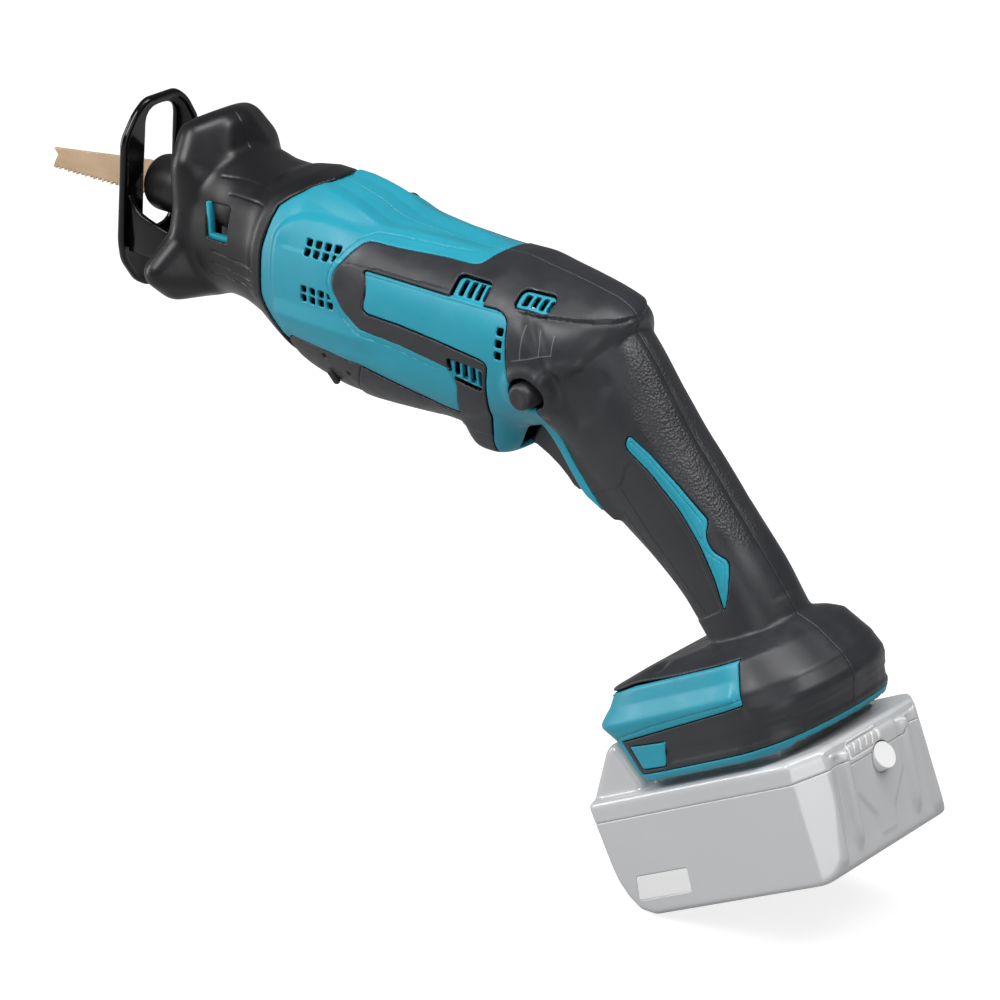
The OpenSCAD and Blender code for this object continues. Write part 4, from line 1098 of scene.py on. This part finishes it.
# Cross section from the outer edge to the slot: distance in from that edge, height over the front face
RIM = [
    (1.0, 0), (0.35, 0.25), (0, 0.9), (0, 2.3), (0.35, 2.95), (1.0, 3.2), (1.9, 3.15), (2.6, 2.75),
    (3.4, 2.45)]
LIP = [(1.2, 2.4), (0.35, 2.15), (0, 1.6), (0, 0.8), (0.35, 0.25), (1.2, 0)]


def cross(m, n):
    return m[..., 0] * n[..., 1] - m[..., 1] * n[..., 0]


def even_ring(outline, count, corner):
    """Points spread along a rounded outline by angle about its middle."""
    p = rounded(rounded(outline, corner), corner * 0.35)
    q = np.roll(p, -1, 0) - p
    middle = np.array([0, 9.8])
    out = []
    for i in range(count):
        a = 2 * math.pi * (i + 0.5) / count
        # the angle is stretched so that long flanks get their share of points
        d = np.array([math.cos(a) * SHOE_W, math.sin(a) * SHOE_H])
        denominator = cross(d, q)
        with np.errstate(divide="ignore", invalid="ignore"):
            t = cross(p - middle, q) / denominator
            s = cross(p - middle, d) / denominator
        ok = (s >= -1e-9) & (s <= 1 + 1e-9) & (t > 0)
        out.append(middle + d * t[ok].min())
    return np.array(out)


outer = even_ring(LOOP + [(-y, z) for y, z in reversed(LOOP)], 240, 1.5)
inner = even_ring(SLOT, 240, 3.6)
toward = inner - outer
toward /= np.hypot(*toward.T)[:, None]
shoe = bmesh.new()
rings = []
for ring, h in [(outer + toward * d, h) for d, h in RIM] + [(inner - toward * d, h) for d, h in LIP]:
    verts = [shoe.verts.new((h, float(y), float(z))) for y, z in ring]
    rings.append([shoe.edges.new(pair) for pair in zip(verts, verts[1:] + verts[:1])])
for a, b in zip(rings, rings[1:] + rings[:1]):
    bmesh.ops.bridge_loops(shoe, edges=a + b)
bmesh.ops.recalc_face_normals(shoe, faces=shoe.faces)
lean = Matrix.Translation((-22.2, 0, 0)) @ Matrix.Rotation(math.atan(0.12), 4, "Y")
bmesh.ops.transform(shoe, matrix=lean, verts=shoe.verts)
finish_piece("shoe_loop", shoe, "shoe", "black_metal", gloss_black, ["shoe_plate"], auto=50)

CHEEK_SIDE = [
    (-20.2, 1.5), (-19.2, 0.6), (-17.9, -1.8), (-16, -4), (-13.4, -5.7), (-10, -7), (-6, -8.1),
    (1.6, -9.8), (1.6, -21.4), (-5, -22.6), (-21.4, -22.6)]
BASE_SIDE = [(-22.6, -21), (-20.6, -17.8), (-6, -19), (-6, -22.6), (-21.2, -22.6)]
TONGUE_SIDE = [(-7, -22.6), (-7, -19), (44, -19), (44, -22.6)]
arms = [side_slab(CHEEK_SIDE, y, y + 2.2) for y in (-17.2, 15)]
arms += [side_slab(BASE_SIDE, -16.5, 16.5), side_slab(TONGUE_SIDE, -7.5, 7.5)]
for arm in arms:
    softened(arm, [e for e in arm.edges if e.calc_face_angle(0) > 0.6], 0.55, 3)
finish_piece("shoe_arms", gather(arms), "shoe", "black_metal", gloss_black, ["shoe_bracket"], auto=40)

# ---------------------------------------------------------------- blade, clamp sleeve, trigger, lock button


def spun(profile, steps=72):
    """A body turned about the x axis: x and radius along its section."""
    bm = bmesh.new()
    verts = [bm.verts.new((x, 0, r)) for x, r in profile]
    edges = [bm.edges.new((a, b)) for a, b in zip(verts, verts[1:] + verts[:1])]
    bmesh.ops.spin(bm, geom=verts + edges, cent=(0, 0, 0), axis=(1, 0, 0), angle=2 * math.pi, steps=steps,
                   use_merge=True)
    bmesh.ops.remove_doubles(bm, verts=bm.verts, dist=1e-4)
    bmesh.ops.recalc_face_normals(bm, faces=bm.faces)
    return bm


def crosswise(bm, x, z):
    """Turns a spun body to lie across the tool, at a place in the side view."""
    place = Matrix.Translation((x, 0, z)) @ Matrix.Rotation(math.pi / 2, 4, "Z")
    bmesh.ops.transform(bm, matrix=place, verts=bm.verts)


COLLAR = [
    (-17.8, 9.7), (-17.8, 10.0), (-17.5, 10.5), (-16.8, 10.95), (-15.8, 11.25), (-14.6, 11.4),
    (5.4, 11.4), (5.9, 11.1), (6, 10.6), (6, 9.7)]
sleeve = spun(COLLAR)
bmesh.ops.translate(sleeve, verts=sleeve.verts, vec=(0, 0, AXIS_Z))
finish_piece("clamp_collar", sleeve, "sleeve", "black_metal", satin_black, ["clamp_sleeve"], auto=50)

TIP, PITCH = -81.0, 2.5
SHANK = [(-21.6, -5.2), (-20.4, -2.6), (-7, -2.6), (-7, 8.6), (-16, 8.6), (-19, 10.4), (-24, 10.4)]
POINT = [(TIP + 1, 4), (TIP + 3.2, 1.4), (TIP + 1.4, -1.2)]
teeth = []
for i in range(22):
    root = TIP + 1.2 + PITCH * i
    drop = 0.35 * math.sin(5.1 * i) + 0.15 * math.sin(11.7 * i)
    teeth += [(root, -4.85 - 0.25 * drop), (root + 0.35 * PITCH, -4.35),
              (root + 0.62 * PITCH, -3.3 + 0.3 * drop), (root + 0.8 * PITCH, -3.25)]
blade = side_slab([(TIP, -4.1)] + teeth + SHANK + POINT, -0.6, 0.6)
# the teeth are set to either side in turn
for v in blade.verts:
    if v.co.z < -4.5 and v.co.x < -23:
        v.co.y += 0.32 * (-1 if round((v.co.x - TIP - 1.2) / PITCH) % 2 else 1)
sharp = [e for e in long_edges(blade) if e.calc_face_angle(0) > 1.2]
softened(blade, [e for e in sharp if max(v.co.z for v in e.verts) > -3], 0.12)
finish_piece("blade_strip", blade, "plunger", "blade_metal", blade_lacquer, ["blade"], smooth=False)

TRIGGER = [
    (182, -54.6), (184, -49.6), (186.6, -45), (190, -40.6), (193.5, -37.2), (198, -38), (202, -46),
    (206, -52.6), (210.3, -60.4), (208.5, -66), (204.6, -67.6), (202, -66.6), (199, -63.6), (195, -60.4),
    (190, -57.4), (184.5, -54.9)]
lever = side_slab(TRIGGER, -8.9, 8.9)
softened(lever, long_edges(lever), 1.8, 4)
finish_piece("trigger_lever", lever, "trigger", "black_plastic", black, ["trigger"], auto=35)

rod = [(-32.7, 0.01), (-32.8, 2.4), (-32.95, 3.3), (-32.7, 4.1), (-32.1, 4.75), (-31.3, 5.05), (-30, 5.1)]
button = spun(rod + [(-x, r) for x, r in reversed(rod)])
crosswise(button, LOCK[0], LOCK[1])
finish_piece("lock_rod", button, "lock_button", "black_plastic", black, ["lock_button"], auto=50)

# ---------------------------------------------------------------- small pieces behind the openings
TRIM_SIDE = [(33, -2.4), (33, 12.4), (34.7, 12.4), (34.7, -0.5), (45.2, -0.5), (45.2, -2.4)]
frames = [side_slab(TRIM_SIDE, y, y + 3.0) for y in (-25.6, 22.6)]
for bm in frames:
    softened(bm, bm.edges[:], 0.35)
finish_piece("window_trim", gather(frames), "housing", "teal", teal, auto=40)


def panel(x0, x1, z0, z1, half, matrix=None):
    """An upright block across the middle: ends, heights, half width."""
    return side_slab([(x0, z0), (x0, z1), (x1, z1), (x1, z0)], -half, half, matrix)


# Black blocks behind the vents, the louvres and the foot's opening: painted shade, dark sheets standing in
# for the shadowed inside of the housing.
shade_screens = [
    panel(184, 204, 1.8, 9, 10), panel(158.5, 175.5, 1.5, 10.5, 9), panel(86.5, 106.5, -13.2, 10.6, 12),
    panel(182.8, 187, -14.5, -2, 12), panel(161.5, 177.5, -28.5, -20, 12),
    panel(28, 100, 67, 70, 31, PACK_AT)]
finish_piece("shade_screen", gather(shade_screens), "housing", "black_plastic", black, smooth=False)
wells = []
for x, z, y in SCREWS:
    wells.append(spun([(y - 2, 3.45), (y + 2.2, 3.45), (y + 2.2, 4.3), (y - 2, 4.3)], 36))
    crosswise(wells[-1], x, z)
hook = knuckle([(95.3, -24.6, -42.5, 1.5), (96.6, -22.9, -46.6, 1.4)])
finish_piece("key_hook", hook, "housing", "black_plastic", black)
finish_piece("screw_wells", gather(wells), "housing", "black_plastic", black, auto=40)

# ---------------------------------------------------------------- studio
scene = bpy.context.scene
camera_data = bpy.data.cameras.new("camera")
camera = bpy.data.objects.new("camera", camera_data)
scene.collection.objects.link(camera)
# Right, up and back, then the place
CAMERA_AXES = ((0.75103, 0.65994, -0.02072), (-0.25121, 0.31462, 0.91537), (0.61061, -0.68227, 0.40207))
CAMERA_PLACE = (1.08334, -1.03391, 0.52210)
camera.matrix_world = Matrix.Translation(CAMERA_PLACE) @ Matrix(CAMERA_AXES).transposed().to_4x4()
camera_data.sensor_width, camera_data.lens = 36, 144
camera_data.clip_start, camera_data.clip_end = 0.05, 20
scene.camera = camera

low = cad_box[0].z
floor_bm = bmesh.new()
bmesh.ops.create_grid(floor_bm, x_segments=1, y_segments=1, size=6)
bmesh.ops.translate(floor_bm, verts=floor_bm.verts, vec=(0.12, 0, low - 0.001))
floor = new_object("floor", floor_bm)
paper = shader("paper", (0.5, 0.5, 0.5), 0.9)
surface = paper.node_tree.nodes["Principled BSDF"]
seen = node(paper, "ShaderNodeLightPath")
shade = node(paper, "ShaderNodeMix", data_type="RGBA")
shade.inputs[6].default_value = (0.3, 0.3, 0.3, 1)
shade.inputs[7].default_value = (0.34, 0.34, 0.34, 1)
wire(paper, seen, "Is Camera Ray", shade, 0)
wire(paper, shade, 2, surface, "Base Color")
surface.inputs["Emission Color"].default_value = (1, 1, 1, 1)
glow = node(paper, "ShaderNodeMath", operation="MULTIPLY")
glow.inputs[1].default_value = 0.8
either = node(paper, "ShaderNodeMath", operation="MULTIPLY_ADD")
either.inputs[1].default_value = 0.22
wire(paper, seen, "Is Glossy Ray", either, 0)
wire(paper, seen, "Is Camera Ray", either, 2)
wire(paper, either, 0, glow, 0)
wire(paper, glow, 0, surface, "Emission Strength")
floor.data.materials.append(paper)

world = bpy.data.worlds.new("studio")
scene.world = world
world.use_nodes = True
sky = world.node_tree.nodes["Background"]
sky.inputs["Color"].default_value = (1, 1, 1, 1)
sky.inputs["Strength"].default_value = 0.17
plain = node(world, "ShaderNodeBackground", Color=(1, 1, 1, 1), Strength=1.0)
path = node(world, "ShaderNodeLightPath")
mix = node(world, "ShaderNodeMixShader")
wire(world, path, "Is Camera Ray", mix, "Fac")
wire(world, sky, 0, mix, 1)
wire(world, plain, 0, mix, 2)
wire(world, mix, 0, world.node_tree.nodes["World Output"], "Surface")


def softbox(name, where, aim, size, power):
    """A rectangular lamp that faces a point."""
    data = bpy.data.lights.new(name, "AREA")
    data.shape, data.size, data.size_y, data.energy = "RECTANGLE", size[0], size[1], power
    lamp = bpy.data.objects.new(name, data)
    scene.collection.objects.link(lamp)
    lamp.location = where
    lamp.rotation_euler = (Vector(aim) - Vector(where)).to_track_quat("-Z", "Y").to_euler()


softbox("key", (-0.35, -1.25, 1.15), (0.15, 0, -0.05), (0.8, 0.8), 20)
softbox("front", (0.9, -1.2, 0.7), (0.2, 0, -0.1), (0.5, 0.5), 1.2)
softbox("top", (0.35, -0.1, 1.35), (0.2, 0, -0.05), (1.0, 0.5), 12)
softbox("left", (-1.0, -0.62, 0.1), (0.1, 0, -0.05), (0.25, 0.9), 6)
softbox("right", (1.2, -0.8, 0.1), (0.35, -0.02, -0.15), (0.35, 0.6), 2.4)
softbox("back", (1.0, 0.25, 1.1), (0.25, 0, -0.08), (0.5, 0.5), 9)
scene.view_settings.view_transform = "Standard"
